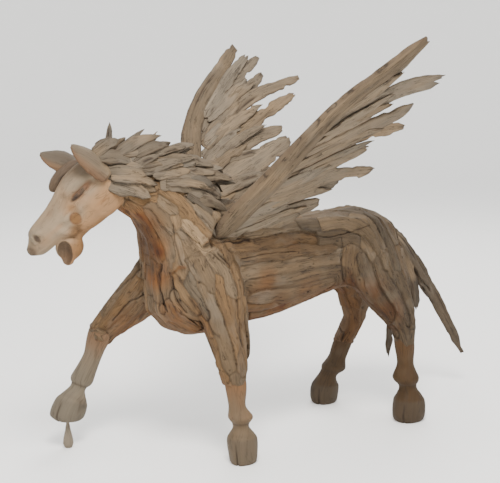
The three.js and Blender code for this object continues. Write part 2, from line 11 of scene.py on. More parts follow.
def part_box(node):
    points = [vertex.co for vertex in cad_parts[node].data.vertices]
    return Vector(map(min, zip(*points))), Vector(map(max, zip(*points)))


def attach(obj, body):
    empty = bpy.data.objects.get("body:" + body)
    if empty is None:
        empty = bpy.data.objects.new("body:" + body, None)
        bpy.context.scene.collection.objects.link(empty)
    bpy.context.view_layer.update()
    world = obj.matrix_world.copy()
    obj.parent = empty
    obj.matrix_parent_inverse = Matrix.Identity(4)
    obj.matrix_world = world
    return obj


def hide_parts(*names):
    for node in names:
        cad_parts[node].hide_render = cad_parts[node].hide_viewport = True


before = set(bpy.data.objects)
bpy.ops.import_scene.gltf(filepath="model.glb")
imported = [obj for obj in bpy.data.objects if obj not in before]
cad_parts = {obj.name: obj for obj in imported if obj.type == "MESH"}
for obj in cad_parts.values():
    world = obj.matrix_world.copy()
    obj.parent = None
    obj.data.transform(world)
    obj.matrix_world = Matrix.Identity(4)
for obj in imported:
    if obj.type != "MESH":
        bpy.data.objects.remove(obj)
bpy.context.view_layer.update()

# The figure's own measure: hundredths of its height at the withers, in metres. Its places
# are counted from the left fore hoof, and the prop shows where that is in the frame.
HUNDREDTH = 0.0092
PROP_PLACE = (-46.2, 33.0)
prop_low, prop_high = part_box("hoof_prop")
ORIGIN = np.array([
    (prop_low.x + prop_high.x) / 2 - PROP_PLACE[0] * HUNDREDTH,
    (prop_low.y + prop_high.y) / 2 - PROP_PLACE[1] * HUNDREDTH,
    0.0,
])
MM = 0.001
LEFT, RIGHT = -1, 1

# How finely the planks are made: points along each, and points around it
EAR_STEPS, EAR_SIDES = 70, 40
SPAR_DENSITY = (170, 44)
FEATHER_DENSITY, COVERT_DENSITY = (76, 26), (40, 18)
LOCK_DENSITY, SMALL_LOCK_DENSITY = (42, 20), (32, 16)
TAIL_DENSITY = (96, 22)
LEG_RINGS, LEG_SIDES = 112, 68


def at(points):
    """Places of the figure, in hundredths, as points of the frame."""
    return ORIGIN + np.asarray(points, float) * HUNDREDTH


# Colours, as the wood shows them in even light; CRACK is painted shade for the depths of cracks, splits,
# holes and grooves
def paint(red, green, blue):
    def linear(value):
        value /= 255
        return value / 12.92 if value <= 0.04045 else ((value + 0.055) / 1.055) ** 2.4
    return np.array([linear(red), linear(green), linear(blue)])


GREY_TAN = paint(120, 106, 88)
PALE = paint(136, 121, 101)
SILVER = paint(114, 105, 92)
TAN = paint(124, 103, 77)
ORANGE = paint(134, 92, 54)
RUSSET = paint(98, 64, 40)
UMBER = paint(68, 54, 41)
CRACK = paint(40, 29, 21)
OCHRE = paint(112, 80, 47)
HEAD_PALE = paint(133, 116, 94)
HEAD_GREY = paint(112, 99, 81)
HEAD_WARM = paint(140, 106, 72)


# Number tools

def unit(vectors):
    length = np.linalg.norm(vectors, axis=-1, keepdims=True)
    return vectors / np.maximum(length, 1e-12)


def ease(values, low=0.0, high=1.0):
    share = np.clip((values - low) / (high - low), 0, 1)
    return share * share * (3 - 2 * share)


def mixed(first, second, share):
    return first + (second - first) * np.asarray(share)[..., None]


def layered(tint, *layers):
    """Colours laid over each other: each layer is a colour and how much of it shows."""
    for colour, share in layers:
        tint = mixed(tint, colour, share)
    return tint


def nearness(points, middle, sizes, inner, outer):
    """1 near a middle and 0 far from it, with the distance counted in the sizes."""
    return 1 - ease(np.linalg.norm((points - middle) / sizes, axis=1), inner, outer)


def bump(values, width):
    """A smooth bump, 1 high where the values are 0."""
    return np.exp(-((values / width) ** 2))


def noise(points, size, seed=0):
    """Smooth noise from -1 to 1, with bumps about as large as size."""
    places = np.asarray(points, float) / size
    cell = np.floor(places).astype(np.int64)
    part = ease(places - cell)
    total = np.zeros(len(places))
    for corner in range(8):
        step = np.array([corner & 1, corner >> 1 & 1, corner >> 2 & 1])
        x, y, z = (cell + step).T
        key = (x * 374761393 + y * 668265263 + z * 974634777 + seed * 1274126177) & 0xFFFFFFFF
        key = ((key ^ (key >> 13)) * 1274126177) & 0xFFFFFFFF
        value = ((key ^ (key >> 16)) & 0xFFFF) / 32767.5 - 1
        total += value * np.prod(np.where(step, part, 1 - part), axis=1)
    return total


def curve_through(points, shares):
    """Points of a smooth curve through a row of points, at shares of its length."""
    points = np.asarray(points, float)
    padded = np.vstack([2 * points[0] - points[1], points, 2 * points[-1] - points[-2]])
    place = np.clip(shares, 0, 1) * (len(points) - 1)
    leg = np.minimum(place.astype(int), len(points) - 2)
    u = (place - leg)[:, None]
    a, b, c, d = (padded[leg + i] for i in range(4))
    return 0.5 * (2 * b + (c - a) * u + (2 * a - 5 * b + 4 * c - d) * u**2
                  + (3 * b - 3 * c + d - a) * u**3)


# Meshes

def scene_object(name, data):
    made = bpy.data.objects.new(name, data)
    bpy.context.scene.collection.objects.link(made)
    return made


def smooth_mesh(name, points, faces, material):
    mesh = bpy.data.meshes.new(name)
    mesh.from_pydata(points, [], faces)
    mesh.polygons.foreach_set("use_smooth", np.ones(len(mesh.polygons), bool))
    mesh.materials.append(material)
    return mesh


def tube(rings, sides):
    """The faces of a tube of rings of points: its walls, and its two caps."""
    walls = [[i * sides + j, (i + 1) * sides + j, (i + 1) * sides + (j + 1) % sides,
              i * sides + (j + 1) % sides] for i in range(rings - 1) for j in range(sides)]
    return walls, [list(range(sides)), [(rings - 1) * sides + j for j in range(sides)][::-1]]


def make_piece(name, points, faces, tint, grain, material, nodes):
    mesh = smooth_mesh(name, points.tolist(), faces, material)
    colours = np.hstack([np.clip(tint, 0, 1), np.ones((len(tint), 1))])
    mesh.attributes.new("tint", "FLOAT_COLOR", "POINT").data.foreach_set("color", colours.ravel())
    mesh.attributes.new("grain", "FLOAT_VECTOR", "POINT").data.foreach_set("vector", grain.ravel())
    piece = scene_object(name, mesh)
    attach(piece, "root")
    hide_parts(*nodes)


class Bundle:
    """The planks that one piece of the scene is joined from."""

    def __init__(self):
        self.points, self.faces, self.tints, self.grains, self.count = [], [], [], [], 0

    def add(self, points, faces, tint, grain):
        self.points.append(points)
        self.faces += [[i + self.count for i in face] for face in faces]
        self.tints.append(tint)
        self.grains.append(grain)
        self.count += len(points)

    def piece(self, name, material, slot, nodes):
        make_piece(name, np.vstack(self.points), self.faces, np.vstack(self.tints),
                   np.vstack(self.grains), material, nodes)


def evaluated(points, faces, steps):
    """The mesh that a row of modifiers makes, as points, normals and faces."""
    mesh = bpy.data.meshes.new("rough")
    mesh.from_pydata(points, [], faces)
    rough = scene_object("rough", mesh)
    for kind, settings in steps:
        modifier = rough.modifiers.new(kind, kind)
        for key, value in settings.items():
            setattr(modifier, key, value)
    bpy.context.view_layer.update()
    made = rough.evaluated_get(bpy.context.evaluated_depsgraph_get()).to_mesh()
    count = len(made.vertices)
    places, normals = np.zeros(count * 3), np.zeros(count * 3)
    made.vertices.foreach_get("co", places)
    made.vertex_normals.foreach_get("vector", normals)
    quads = [list(face.vertices) for face in made.polygons]
    bpy.data.objects.remove(rough)
    bpy.data.meshes.remove(mesh)
    return places.reshape(-1, 3), normals.reshape(-1, 3), quads


NODE_SWELL = 1.2 * MM  # closes the gaps between neighbouring nodes


def smooth_form(nodes, voxel, rounds, swell):
    """One smooth skin over the solids of some nodes, with faces half a voxel wide."""
    points, faces = [], []
    for node in nodes:
        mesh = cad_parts[node].data
        start = len(points)
        keys = [tuple(key) for key in np.round([vertex.co for vertex in mesh.vertices], 5).tolist()]
        normals = np.zeros((len(keys), 3))
        for face in mesh.polygons:
            normals[list(face.vertices)] += np.array(face.normal) * face.area
        merged = {}
        for key, normal in zip(keys, normals):
            merged[key] = merged.get(key, 0) + normal
        order = {key: start + i for i, key in enumerate(merged)}
        points += [np.array(key) + unit(normal) * NODE_SWELL for key, normal in merged.items()]
        for face in mesh.polygons:
            ring = [order[keys[i]] for i in face.vertices]
            if len(set(ring)) > 2:
                faces.append(ring)
    places, normals, quads = evaluated(points, faces, [
        ("REMESH", {"mode": "VOXEL", "voxel_size": voxel}),
        ("SMOOTH", {"factor": 0.5, "iterations": rounds}),
        ("SUBSURF", {"levels": 1, "render_levels": 1}),
    ])
    return places + normals * swell, normals, quads


# Planks

def plank(bundle, line, facing, outline, breadth, thickness, seed, tone, steps, sides, cup=0.0,
          fray=0.0, wear=1.0, splits=2, boxy=0.42, lean=0.0):
    """A split plank along a line of points. The outline's rows are (share of the length,
    reach to one side, reach to the other, share of the thickness), and a reach is a share
    of half the breadth, which is in hundredths."""
    chance = np.random.default_rng(abs(seed) + 1)
    shares = np.linspace(0, 1, steps)
    centre = curve_through(line, shares)
    length = np.linalg.norm(np.diff(centre, axis=0), axis=1).sum()
    turn = (np.arange(sides) + 0.5) / sides * 2 * math.pi
    across = np.sign(np.cos(turn)) * np.abs(np.cos(turn)) ** 0.7
    height = np.sign(np.sin(turn)) * np.abs(np.sin(turn)) ** boxy
    s, a = (grid.ravel() for grid in np.meshgrid(shares, across, indexing="ij"))
    h = np.tile(height, steps)

    # The end is slanted, forked and ragged: fibres stop at lengths of their own
    code = np.stack([a * 3, a * 0 + seed * 3.7, a * 0], 1)
    ragged = np.clip(0.4 + noise(code, 1.0, seed) + 0.7 * noise(code, 0.4, seed + 1), 0, 1.4)
    slant, place = chance.uniform(-1, 1), chance.uniform(-0.45, 0.45)
    fork = chance.uniform(0, 0.8) * bump(a - place, 0.3)
    cut = fray * (0.5 * (1 + slant * a) + fork + 0.8 * ragged)
    reach = s - cut * ease(s, 0.6, 1)
    middle = curve_through(line, reach)
    ahead = unit(curve_through(line, np.minimum(reach + 0.02, 1.0))
                 - curve_through(line, np.maximum(reach - 0.02, 0.0)))
    wide = unit(np.cross(facing, ahead))
    out = np.cross(ahead, wide)
    wide, out = (wide * math.cos(lean) + out * math.sin(lean),
                 out * math.cos(lean) - wide * math.sin(lean))

    marks, *columns = np.array(outline, float).T
    one, other, thick = (np.interp(s, marks, column) for column in columns)
    one, other = one * breadth / 2 * HUNDREDTH, other * breadth / 2 * HUNDREDTH
    along, none = s * length, s * 0
    edge = np.stack([along, none + seed * 0.31, np.sign(a)], 1)
    nibble = 3.4 * noise(edge, 0.07, seed) + 2.4 * noise(edge, 0.02, seed + 5)
    nibble -= 9 * ease(noise(edge, 0.055, seed + 9), 0.35, 0.8)
    ends = np.minimum(1, 9 * np.minimum(s + 0.05, 1.05 - s)) ** 0.5
    half = np.where(a > 0, one, other) * ends
    nibble = np.minimum(wear * nibble * MM, 0.2 * half)
    spread = a * np.maximum(half + nibble * ease(np.abs(a), 0.3, 1), 0.4 * MM)
    width = one + other
    ridge_place = np.stack([along / 9, spread, none + seed * 0.7], 1)
    ridges = 1.5 * noise(ridge_place, 0.011, seed + 2) + 2.6 * noise(ridge_place, 0.034, seed + 3)
    bow = 3.5 * noise(np.stack([along, a * 0.01, none], 1), 0.13, seed + 4)
    lift = h * thick * thickness / 2 * ends
    lift += wear * (np.sign(h) * ridges * np.abs(h) + bow) * MM * ends
    lift += cup * a**2 * width

    # Long splits along the grain
    dark = none
    for _ in range(splits):
        place, first = chance.uniform(-0.75, 0.75), chance.uniform(0.0, 0.65)
        last = first + chance.uniform(0.12, 0.45)
        wander = place + 0.16 * noise(np.stack([along, none, none + place], 1), 0.2, seed + 7)
        gate = ease(s, first, first + 0.08) * (1 - ease(s, last - 0.08, last))
        groove = bump((a - wander) * width / 2, 1.8 * MM) * gate
        lift -= np.sign(h) * groove * min(4 * MM, 0.36 * thickness)
        dark = np.maximum(dark, groove)
    points = middle + wide * spread[:, None] + out * lift[:, None]

    walls, caps = tube(steps, sides)
    faces = [[wall[0]] + wall[:0:-1] for wall in walls] + [cap[::-1] for cap in caps]
    patch = noise(np.stack([along, spread * 3, none + seed * 1.3], 1), 0.11, seed + 6)
    # Painted shade in the splits
    tint = layered(tone * (1 + 0.12 * patch[:, None]), (TAN, ease(patch, 0.15, 0.9) * 0.6),
                   (UMBER, 0.55 * ease(np.abs(a), 0.82, 1) + 0.35 * ease(s, 0.95, 1.0)),
                   (CRACK, 0.9 * dark))
    bundle.add(points, faces, tint, np.stack([along, spread, none + seed * 0.37], 1))


# Slabs over a smooth form

SLAB_STEP = 9 * MM  # between the points of a slab's middle line
SLAB_TRIES = 9000  # places where a slab may start


def tree_of(points):
    tree = KDTree(len(points))
    for index, point in enumerate(points):
        tree.insert(point, index)
    tree.balance()
    return tree


def lay_slabs(points, normals, tree, gap, seed):
    """Middle lines of slabs, spread evenly over a surface along its guides. The main slabs
    come first, and the others start at random places and stop where they meet one."""
    chance = np.random.default_rng(seed)

    def snapped(line):
        line = at(line)
        length = np.linalg.norm(np.diff(line, axis=0), axis=1).sum()
        dense = curve_through(line, np.linspace(0, 1, 2 + int(length / SLAB_STEP)))
        return np.array([points[tree.find(point)[1]] for point in dense])

    lines = [snapped(guide) for guide in GUIDES]
    samples = np.vstack([(line[1:] + line[:-1]) / 2 for line in lines])
    courses = np.vstack([unit(line[1:] - line[:-1]) for line in lines])

    def course(place, normal):
        distance = np.linalg.norm(samples - place, axis=1)
        near = np.argsort(distance)[:7]
        sign = np.where(courses[near] @ courses[near[0]] < 0, -1, 1)[:, None]
        lead = (courses[near] * sign / (distance[near, None] + 5 * MM) ** 2).sum(0)
        return unit(lead - normal * (lead @ normal))

    slabs = [snapped(line) for line in MAIN_SLABS]
    placed = np.vstack(slabs)

    def free(place, limit):
        return ((placed - place) ** 2).sum(1).min() > limit**2

    for start in chance.permutation(len(points))[:SLAB_TRIES]:
        if not free(points[start], gap):
            continue
        longest = chance.uniform(0.08, 0.2)
        arms = []
        for way in (1, -1):
            arm, index, last = [], start, None
            while len(arm) * SLAB_STEP < longest:
                step = course(points[index], normals[index]) * way
                if last is not None and step @ last < 0:
                    step = -step
                last = step
                index = tree.find(points[index] + step * SLAB_STEP)[1]
                if not free(points[index], 0.8 * gap):
                    break
                arm.append(points[index])
            arms.append(arm)
        slabs.append(np.array(arms[1][::-1] + [points[start]] + arms[0]))
        placed = np.vstack([placed, slabs[-1]])
    return slabs


BLOCK = 4000  # points taken at a time, which keeps the tables of distances small


def split_into_slabs(points, slabs, seed):
    """For each point: its slab, how far it is from that slab's edge, and its place along
    and across the slab."""
    chance = np.random.default_rng(seed)
    warp = np.stack([noise(points, 0.075, seed + i) for i in range(3)], 1) * 8 * MM
    warp += np.stack([noise(points, 0.022, seed + 3 + i) for i in range(3)], 1) * 2.2 * MM
    warped = (points + warp).astype(np.float32)
    spots = np.vstack(slabs).astype(np.float32)
    starts = np.cumsum([0] + [len(slab) for slab in slabs[:-1]])
    extra = chance.uniform(0, 7 * MM, len(slabs)).astype(np.float32)
    first = np.zeros(len(points), int)
    border = np.zeros(len(points))
    square = (spots**2).sum(1)
    for low in range(0, len(points), BLOCK):
        block = warped[low:low + BLOCK]
        distance = (block**2).sum(1)[:, None] + square - 2 * block @ spots.T
        nearest = np.sqrt(np.maximum(np.minimum.reduceat(distance, starts, axis=1), 0)) - extra
        pair = np.partition(nearest, 1, axis=1)[:, :2]
        first[low:low + BLOCK] = nearest.argmin(1)
        border[low:low + BLOCK] = (pair[:, 1] - pair[:, 0]) / 2
    along, across = np.zeros(len(points)), np.zeros(len(points))
    order = np.argsort(first, kind="stable")
    bounds = np.searchsorted(first[order], np.arange(len(slabs) + 1))
    for number, slab in enumerate(slabs):
        members = order[bounds[number]:bounds[number + 1]]
        if not len(members):
            continue
        line = slab if len(slab) > 1 else np.vstack([slab, slab + 1 * MM])
        ahead = unit(np.gradient(line, axis=0))
        arc = np.concatenate([[0], np.cumsum(np.linalg.norm(np.diff(line, axis=0), axis=1))])
        offset = points[members][:, None] - line
        nearest = (offset**2).sum(2).argmin(1)
        gap = offset[np.arange(len(members)), nearest]
        forward = (gap * ahead[nearest]).sum(1)
        along[members] = arc[nearest] + forward
        side = gap - ahead[nearest] * forward[:, None]
        sign = np.sign((side * unit(ahead[nearest] + [0.3, 0.2, 0.9])[:, [1, 2, 0]]).sum(1))
        across[members] = np.linalg.norm(side, axis=1) * sign
    return first, border, along, across


# The listed slabs, read off the photograph: lines over the near side, from head to
# rump. The far side repeats them, apart from the legs.
NECK_LINES = [
    [(-42, -5, 106), (-36, -6, 102), (-31, -8, 101)],
    [(-28, -8, 106), (-21, -11, 99), (-15, -14, 91), (-8, -14, 83), (-5, -17, 77)],
    [(-31, -7, 99), (-25, -11, 91), (-21, -13, 86), (-18, -15, 80)],
    [(-38, -4, 99), (-32, -4, 93), (-29, -5, 86), (-27, -6, 79)],
    [(-31, -7, 96), (-27, -8, 90), (-25, -10, 83), (-25, -10, 77)],
    [(-24, -11, 93), (-23, -12, 84), (-22, -11, 75), (-21, -13, 71)],
    [(-19, -14, 83), (-17, -17, 75), (-14, -18, 69)],
    [(-11, -16, 80), (-7, -17, 74), (-6, -19, 67)],
    [(-42, -3, 113), (-34, -5, 112), (-26, -7, 109), (-18, -9, 103)],
    [(-33, -2, 116), (-22, -4, 112), (-12, -7, 104), (-6, -9, 96)],
]
BREAST_LINES = [
    [(-28, -4, 76), (-28, -5, 70), (-28, -5, 64)],
    [(-26, -9, 77), (-25, -8, 70), (-26, -7, 60)],
    [(-23, -11, 73), (-20, -13, 66), (-16, -14, 60)],
    [(-25, -8, 63), (-21, -9, 57), (-15, -11, 53)],
    [(-20, -13, 71), (-18, -17, 65), (-15, -18, 59)],
]
MIDLINES = [
    [(-38, -1, 97), (-31, 0, 89), (-28, 0, 82)],
    [(-28, 0, 74), (-28, 0, 67)],
    [(-27, 0, 62), (-24, 0, 55), (-19, 0, 51)],
    [(-8, 0, 49), (4, 0, 49), (14, 0, 50)],
    [(20, 0, 50), (34, 0, 52), (50, 0, 56)],
    [(10, 0, 94), (22, 0, 91), (34, 0, 88)],
    [(40, 0, 88), (54, 0, 88), (66, 0, 89)],
    [(70, 0, 89), (80, 0, 85), (87, 0, 77)],
]
BARREL_LINES = [
    [(-3, -15, 83), (11, -15, 81), (26, -13, 81), (38, -13, 80)],
    [(1, -14, 77), (15, -16, 77), (29, -15, 77), (44, -15, 76)],
    [(3, -15, 72), (15, -15, 72), (29, -15, 73), (47, -15, 73)],
    [(5, -15, 67), (20, -15, 66), (34, -16, 67), (47, -15, 67)],
    [(8, -14, 61), (19, -14, 60), (30, -14, 60), (45, -13, 61)],
    [(11, -9, 53), (23, -10, 54), (38, -10, 56), (52, -7, 57)],
    [(8, -12, 87), (18, -12, 87), (30, -10, 86)],
    [(6, -8, 92), (16, -8, 91), (28, -7, 89)],
]
RUMP_LINES = [
    [(39, -5, 87), (49, -5, 87), (58, -6, 87)],
    [(60, -2, 88), (67, -7, 87), (71, -13, 81), (73, -17, 73), (75, -18, 65)],
    [(44, -9, 85), (55, -11, 85), (62, -15, 80), (65, -18, 72), (67, -19, 66)],
    [(39, -14, 80), (50, -14, 80), (57, -15, 78)],
    [(78, -8, 84), (83, -9, 77), (85, -11, 68)],
]
NEAR_LEG_LINES = [
    [(-3, -17, 74), (0, -18, 65), (-1, -20, 55), (0, -21, 47), (1, -21, 40)],
    [(-9, -18, 70), (-7, -20, 61), (-5, -21, 52), (-3, -22, 43), (-2, -22, 36)],
    [(-16, -17, 68), (-13, -19, 59), (-11, -20, 50), (-7, -21, 39)],
    [(54, -15, 74), (53, -16, 68), (57, -14, 61)],
    [(57, -18, 71), (59, -20, 63), (66, -19, 53), (72, -19, 45)],
    [(64, -19, 70), (68, -21, 61), (75, -21, 52), (80, -21, 43)],
    [(74, -20, 63), (79, -20, 55), (83, -20, 47), (83, -20, 40)],
    [(59, -13, 58), (66, -13, 50), (73, -15, 42)],
]
FAR_LEG_LINES = [
    [(-25, 13, 73), (-29, 17, 66), (-33, 20, 59), (-36, 22, 55)],
    [(-25, 11, 67), (-30, 15, 59), (-35, 20, 51)],
    [(-22, 12, 62), (-27, 16, 54), (-33, 21, 45)],
    [(-14, 20, 66), (-22, 24, 58), (-30, 27, 50)],
    [(-4, 18, 74), (-8, 21, 64), (-18, 24, 55)],
    [(54, 15, 74), (54, 17, 68), (60, 18, 60)],
    [(58, 19, 70), (64, 20, 61), (72, 20, 52), (77, 20, 44)],
    [(66, 19, 70), (72, 20, 61), (80, 20, 52), (83, 20, 44)],
    [(76, 18, 66), (82, 19, 57), (86, 19, 48)],
    [(82, 21, 42), (80, 21, 35), (77, 21, 29)],
    [(62, 13, 58), (69, 13, 50), (76, 14, 42)],
]
# Courses on the inner sides of the legs, which only steer the slabs
INNER_LINES = [
    [(-6, -12, 62), (-5, -13, 50), (-4, -14, 38)],
    [(70, -10, 60), (76, -12, 50), (80, -13, 38)],
    [(-30, 14, 52), (-34, 18, 46)],
    [(72, 10, 60), (80, 12, 50), (82, 13, 40)],
    [(84, -16, 60), (88, -16, 50), (86, -17, 40)],
]


def other_side(lines):
    return [[(x, -y, z) for x, y, z in line] for line in lines]


TWO_SIDED = NECK_LINES + BREAST_LINES + BARREL_LINES + RUMP_LINES
MAIN_SLABS = TWO_SIDED + MIDLINES + NEAR_LEG_LINES + FAR_LEG_LINES + other_side(TWO_SIDED[:8])
GUIDES = MAIN_SLABS + other_side(TWO_SIDED[8:]) + INNER_LINES

BODY_NODES = ["neck", "chest", "barrel", "croup", "left_fore_upper_leg", "right_fore_upper_leg",
              "left_hind_upper_leg", "right_hind_upper_leg"]
SLAB_GAP = 34 * MM  # between the middle lines of neighbouring slabs
BODY_PIECES = [
    ("forehand_slabs", "weathered_driftwood",
     ["neck", "left_fore_upper_leg", "right_fore_upper_leg"]),
    ("barrel_slabs", "weathered_driftwood", ["barrel"]),
    ("hindquarter_slabs", "weathered_driftwood",
     ["croup", "left_hind_upper_leg", "right_hind_upper_leg"]),
    ("breast_slabs", "russet_driftwood", ["chest"]),
]

# Long open cracks: their line, how wide they are in millimetres, and how dark
LONG_CRACKS = [
    [[(-36.6, -3, 114.2), (-29.8, -6, 109.6), (-24.6, -7, 104.6), (-18.7, -8, 100.4), (-15, -9, 97)],
     2.4, 0.9],
    [[(-15.6, -11, 94.8), (-10.8, -13, 89.9), (-9.9, -14, 81.1)], 3.0, 0.95],
    [[(-9.9, -14, 81.1), (-7, -15.5, 78.1), (-4, -16.6, 74.2), (-2.8, -17.6, 69), (-2.3, -18.6, 62),
      (-2.7, -20.4, 51), (-2, -21.4, 43.8)], 2.8, 0.95],
    [[(-8, -14, 84.8), (-1.3, -14, 83.5), (7.6, -13, 83)], 5.0, 1.0],
    [[(-23.8, -16, 90.2), (-16.5, -16.5, 85.8), (-11.3, -17, 80.9), (-6, -17.6, 75.6)], 1.8, 0.7],
    [[(-25.7, -14, 92), (-26, -16, 83), (-25.1, -17, 74.6)], 2.0, 0.7],
    [[(-30, -8, 76.5), (-29.5, -8, 69.2), (-26, -9, 58.1)], 2.6, 0.85],
    [[(-27, -12, 72.9), (-25.5, -13, 64.3), (-20.7, -14, 58)], 2.4, 0.85],
    [[(-25.6, 8, 77), (-29.6, 14, 68.4), (-34.2, 18, 63.3)], 2.6, 0.85],
    [[(-23, 10, 63.3), (-28.7, 14, 59.2), (-34.5, 18, 51.1)], 2.6, 0.9],
    [[(2.7, -15, 77), (12.2, -15, 77.4), (27.6, -14, 76.4)], 2.0, 0.7],
    [[(50, -14, 79), (49, -15, 71), (52, -15, 62), (58, -14, 56)], 2.6, 0.9],
    [[(71, -14, 82), (71, -18, 74), (70, -19, 66), (74, -20, 57)], 2.0, 0.7],
    [[(34, -12, 83), (44, -13, 80), (56, -13, 81), (66, -12, 82)], 2.0, 0.75],
]

# Where the wood has kept its orange: place, how far it reaches, and how strong it is
WARM_SPOTS = [
    ((-33, -3, 91), 9, 1.0), ((-29, -3, 83), 9, 1.0), ((-27, -4, 74), 8, 0.8),
    ((-24, -8, 57), 8, 0.8), ((-15, -12, 54), 7, 0.6), ((12, -13, 62), 8, 0.5),
    ((20, -10, 56), 9, 0.8), ((34, -12, 59), 9, 0.6), ((14, -15, 68), 5, 0.5),
    ((49, -8, 58), 8, 0.7), ((62, -17, 58), 7, 0.7), ((72, -18, 48), 8, 0.6),
    ((56, -12, 60), 6, 0.8), ((-30, 14, 48), 8, 0.6), ((26, -14, 80), 4, 0.4),
]

BODY_DEPTH = 1.5  # the power that deepens the body's colours


def wood_tint(points, normals, slab, chance):
    """The colours of a slab surface: each slab's own tone, warmer where the weather reaches less, with
    painted shade on faces that turn down, low on the body and at the throat, and painted light on the far
    hind leg."""
    count = slab.max() + 1
    pale, silver, tan = chance.uniform(0, 1, (count, 3)).T
    tone = layered(GREY_TAN, (PALE, 0.7 * ease(pale, 0.5, 1)), (SILVER, 0.7 * ease(silver, 0.6, 1)),
                   (TAN, 0.8 * ease(tan, 0.4, 1)))
    tint = (tone * chance.uniform(0.87, 1.08, (count, 1)))[slab]
    place = (points - ORIGIN) / HUNDREDTH
    x, y, z = place.T
    # Faces that turn down are warmer and darker: partly wood the weather reaches less, partly painted shade
    warm = 0.8 * ease(-normals[:, 2], 0.15, 0.8)
    for spot, size, strength in WARM_SPOTS:
        warm = np.maximum(warm, strength * nearness(place, spot, size, 0.35, 1.3))
    warm *= 0.8 + 0.4 * noise(points, 0.05, 71) + chance.uniform(-0.2, 0.2, count)[slab]
    # The far hind leg stands in shade and gets painted light: it is made warmer and lighter
    far_hind = ease(x, 50, 56) * ease(y, 6, 11) * ease(-z, -60, -50)
    warm = np.maximum(warm, 0.5 * far_hind)
    deep = warm * (0.7 + 0.5 * noise(points, 0.03, 72))
    tint = layered(tint, (ORANGE * [0.82, 0.86, 0.8], np.clip(warm, 0, 1) * 0.85),
                   (RUSSET, ease(deep, 0.45, 1.0) * 0.65))
    # The body is browner than the wings and darker behind, with painted shade low on the body, and a lighter
    # near neck
    shade = 1.54 - 0.32 * ease(x, -12, 14) - 0.32 * ease(x, 30, 72) - 0.16 * ease(-z, -72, -50)
    shade += 0.5 * far_hind + 0.36 * nearness(place, (-20, -12, 92), (12, 14, 14), 0.7, 1.3)
    # Painted shade at the throat
    shade *= 1 - 0.42 * nearness(place, (-30, -2, 84), (7, 8, 14), 0.5, 1.2)
    return shade[:, None] * tint ** BODY_DEPTH


BODY_VOXEL = 7 * MM
HOLES = 150


def body_slabs(material):
    points, normals, faces = smooth_form(BODY_NODES, BODY_VOXEL, 12, 3.4 * MM)
    tree = tree_of(points)
    slabs = lay_slabs(points, normals, tree, SLAB_GAP, 5)
    slab, border, along, across = split_into_slabs(points, slabs, 17)
    chance = np.random.default_rng(29)
    count = len(slabs)
    code = np.stack([along, across, slab * 0.731], 1)

    # Most joints are tight, and some have opened into dark cracks
    opening = ease(noise(points, 0.08, 41) + 0.6 * noise(points, 0.03, 42), 0.15, 1.05)
    crack = bump(border, (1 + 2 * opening) * MM)
    lift = chance.uniform(-2.0, 2.0, count)[slab] * MM
    lift += chance.uniform(-0.15, 0.15, count)[slab] * across
    lift += chance.uniform(-0.025, 0.025, count)[slab] * (along - 0.05)
    stretched = code * [0.12, 1, 1]
    lift += (1.5 * noise(stretched, 0.009, 43) + 1.8 * noise(stretched, 0.024, 44)
             + 2.2 * noise(points, 0.05, 45) - 1.3 * (1 - ease(border, 0, 7 * MM)) ** 2
             - crack * (0.9 + 6 * opening)) * MM

    # Checks that opened along the grain, inside the slabs
    checks = noise(code * [0.14, 1, 1], 0.015, 46)
    check = bump(checks, 0.09) * ease(noise(points, 0.045, 47), 0.12, 0.55)
    check *= ease(border, 2 * MM, 6 * MM)
    lift -= check * 2.4 * MM

    # The long cracks that part neck from mane and shoulder from barrel
    gap = np.zeros(len(points))
    for line, width, strength in LONG_CRACKS:
        dense = curve_through(at(line), np.linspace(0, 1, 60))
        dense = np.array([points[tree.find(place)[1]] for place in dense])
        dense = curve_through(dense[::4], np.linspace(0, 1, 160))
        reach = np.linalg.norm(dense - dense.mean(0), axis=1).max() + 15 * MM
        close = np.nonzero(((points - dense.mean(0)) ** 2).sum(1) < reach**2)[0]
        distance = np.sqrt(((points[close][:, None] - dense) ** 2).sum(2).min(1))
        wobble = width * MM * (1 + 0.5 * noise(points[close], 0.03, 48))
        gap[close] = np.maximum(gap[close], strength * bump(distance, wobble))
    lift -= gap * 9 * MM

    # Worm and nail holes
    hole = np.zeros(len(points))
    for start in chance.permutation(len(points))[:HOLES]:
        size = chance.uniform(2.0, 4.4) * MM
        hole = np.maximum(hole, nearness(points, points[start], size, 0.5, 1.3))
    lift -= hole * 5 * MM

    moved = points + normals * lift[:, None]
    tint = wood_tint(points, normals, slab, chance)
    # Painted shade along the edges of the slabs, and in the cracks, checks, long cracks and holes
    tint *= (1 - 0.1 * (1 - ease(border, 0, 6 * MM)))[:, None]
    for share in (crack * (0.02 + 0.95 * opening), 0.5 * check, gap, 0.85 * hole):
        tint = mixed(tint, CRACK, np.clip(share, 0, 0.95))

    # Four pieces: the breast, the rest of the forehand, the barrel and the hindquarters
    corners = np.array([face[:4] for face in faces])
    share = np.maximum(np.bincount(slab, minlength=count), 1)
    middle = np.stack([np.bincount(slab, points[:, i], count) / share for i in range(3)], 1)
    middle = (middle - ORIGIN) / HUNDREDTH
    shoulder = 2 + 0.1 * (middle[:, 2] - 80)
    part = np.where(middle[:, 0] < shoulder, 0, np.where(middle[:, 0] < 50, 1, 2))
    part[(part == 0) & (middle[:, 2] < 66) & (np.abs(middle[:, 1]) < 11) & (middle[:, 0] < -13)] = 3
    part = part[slab[corners[:, 0]]]
    for number, (name, slot, nodes) in enumerate(BODY_PIECES):
        chosen = corners[part == number]
        used, flat = np.unique(chosen, return_inverse=True)
        places, rings, more = closed(moved[used], flat.reshape(chosen.shape))
        take = np.concatenate([used, np.full(more, used[0])])
        make_piece(name, places, rings, tint[take], code[take], material, nodes)


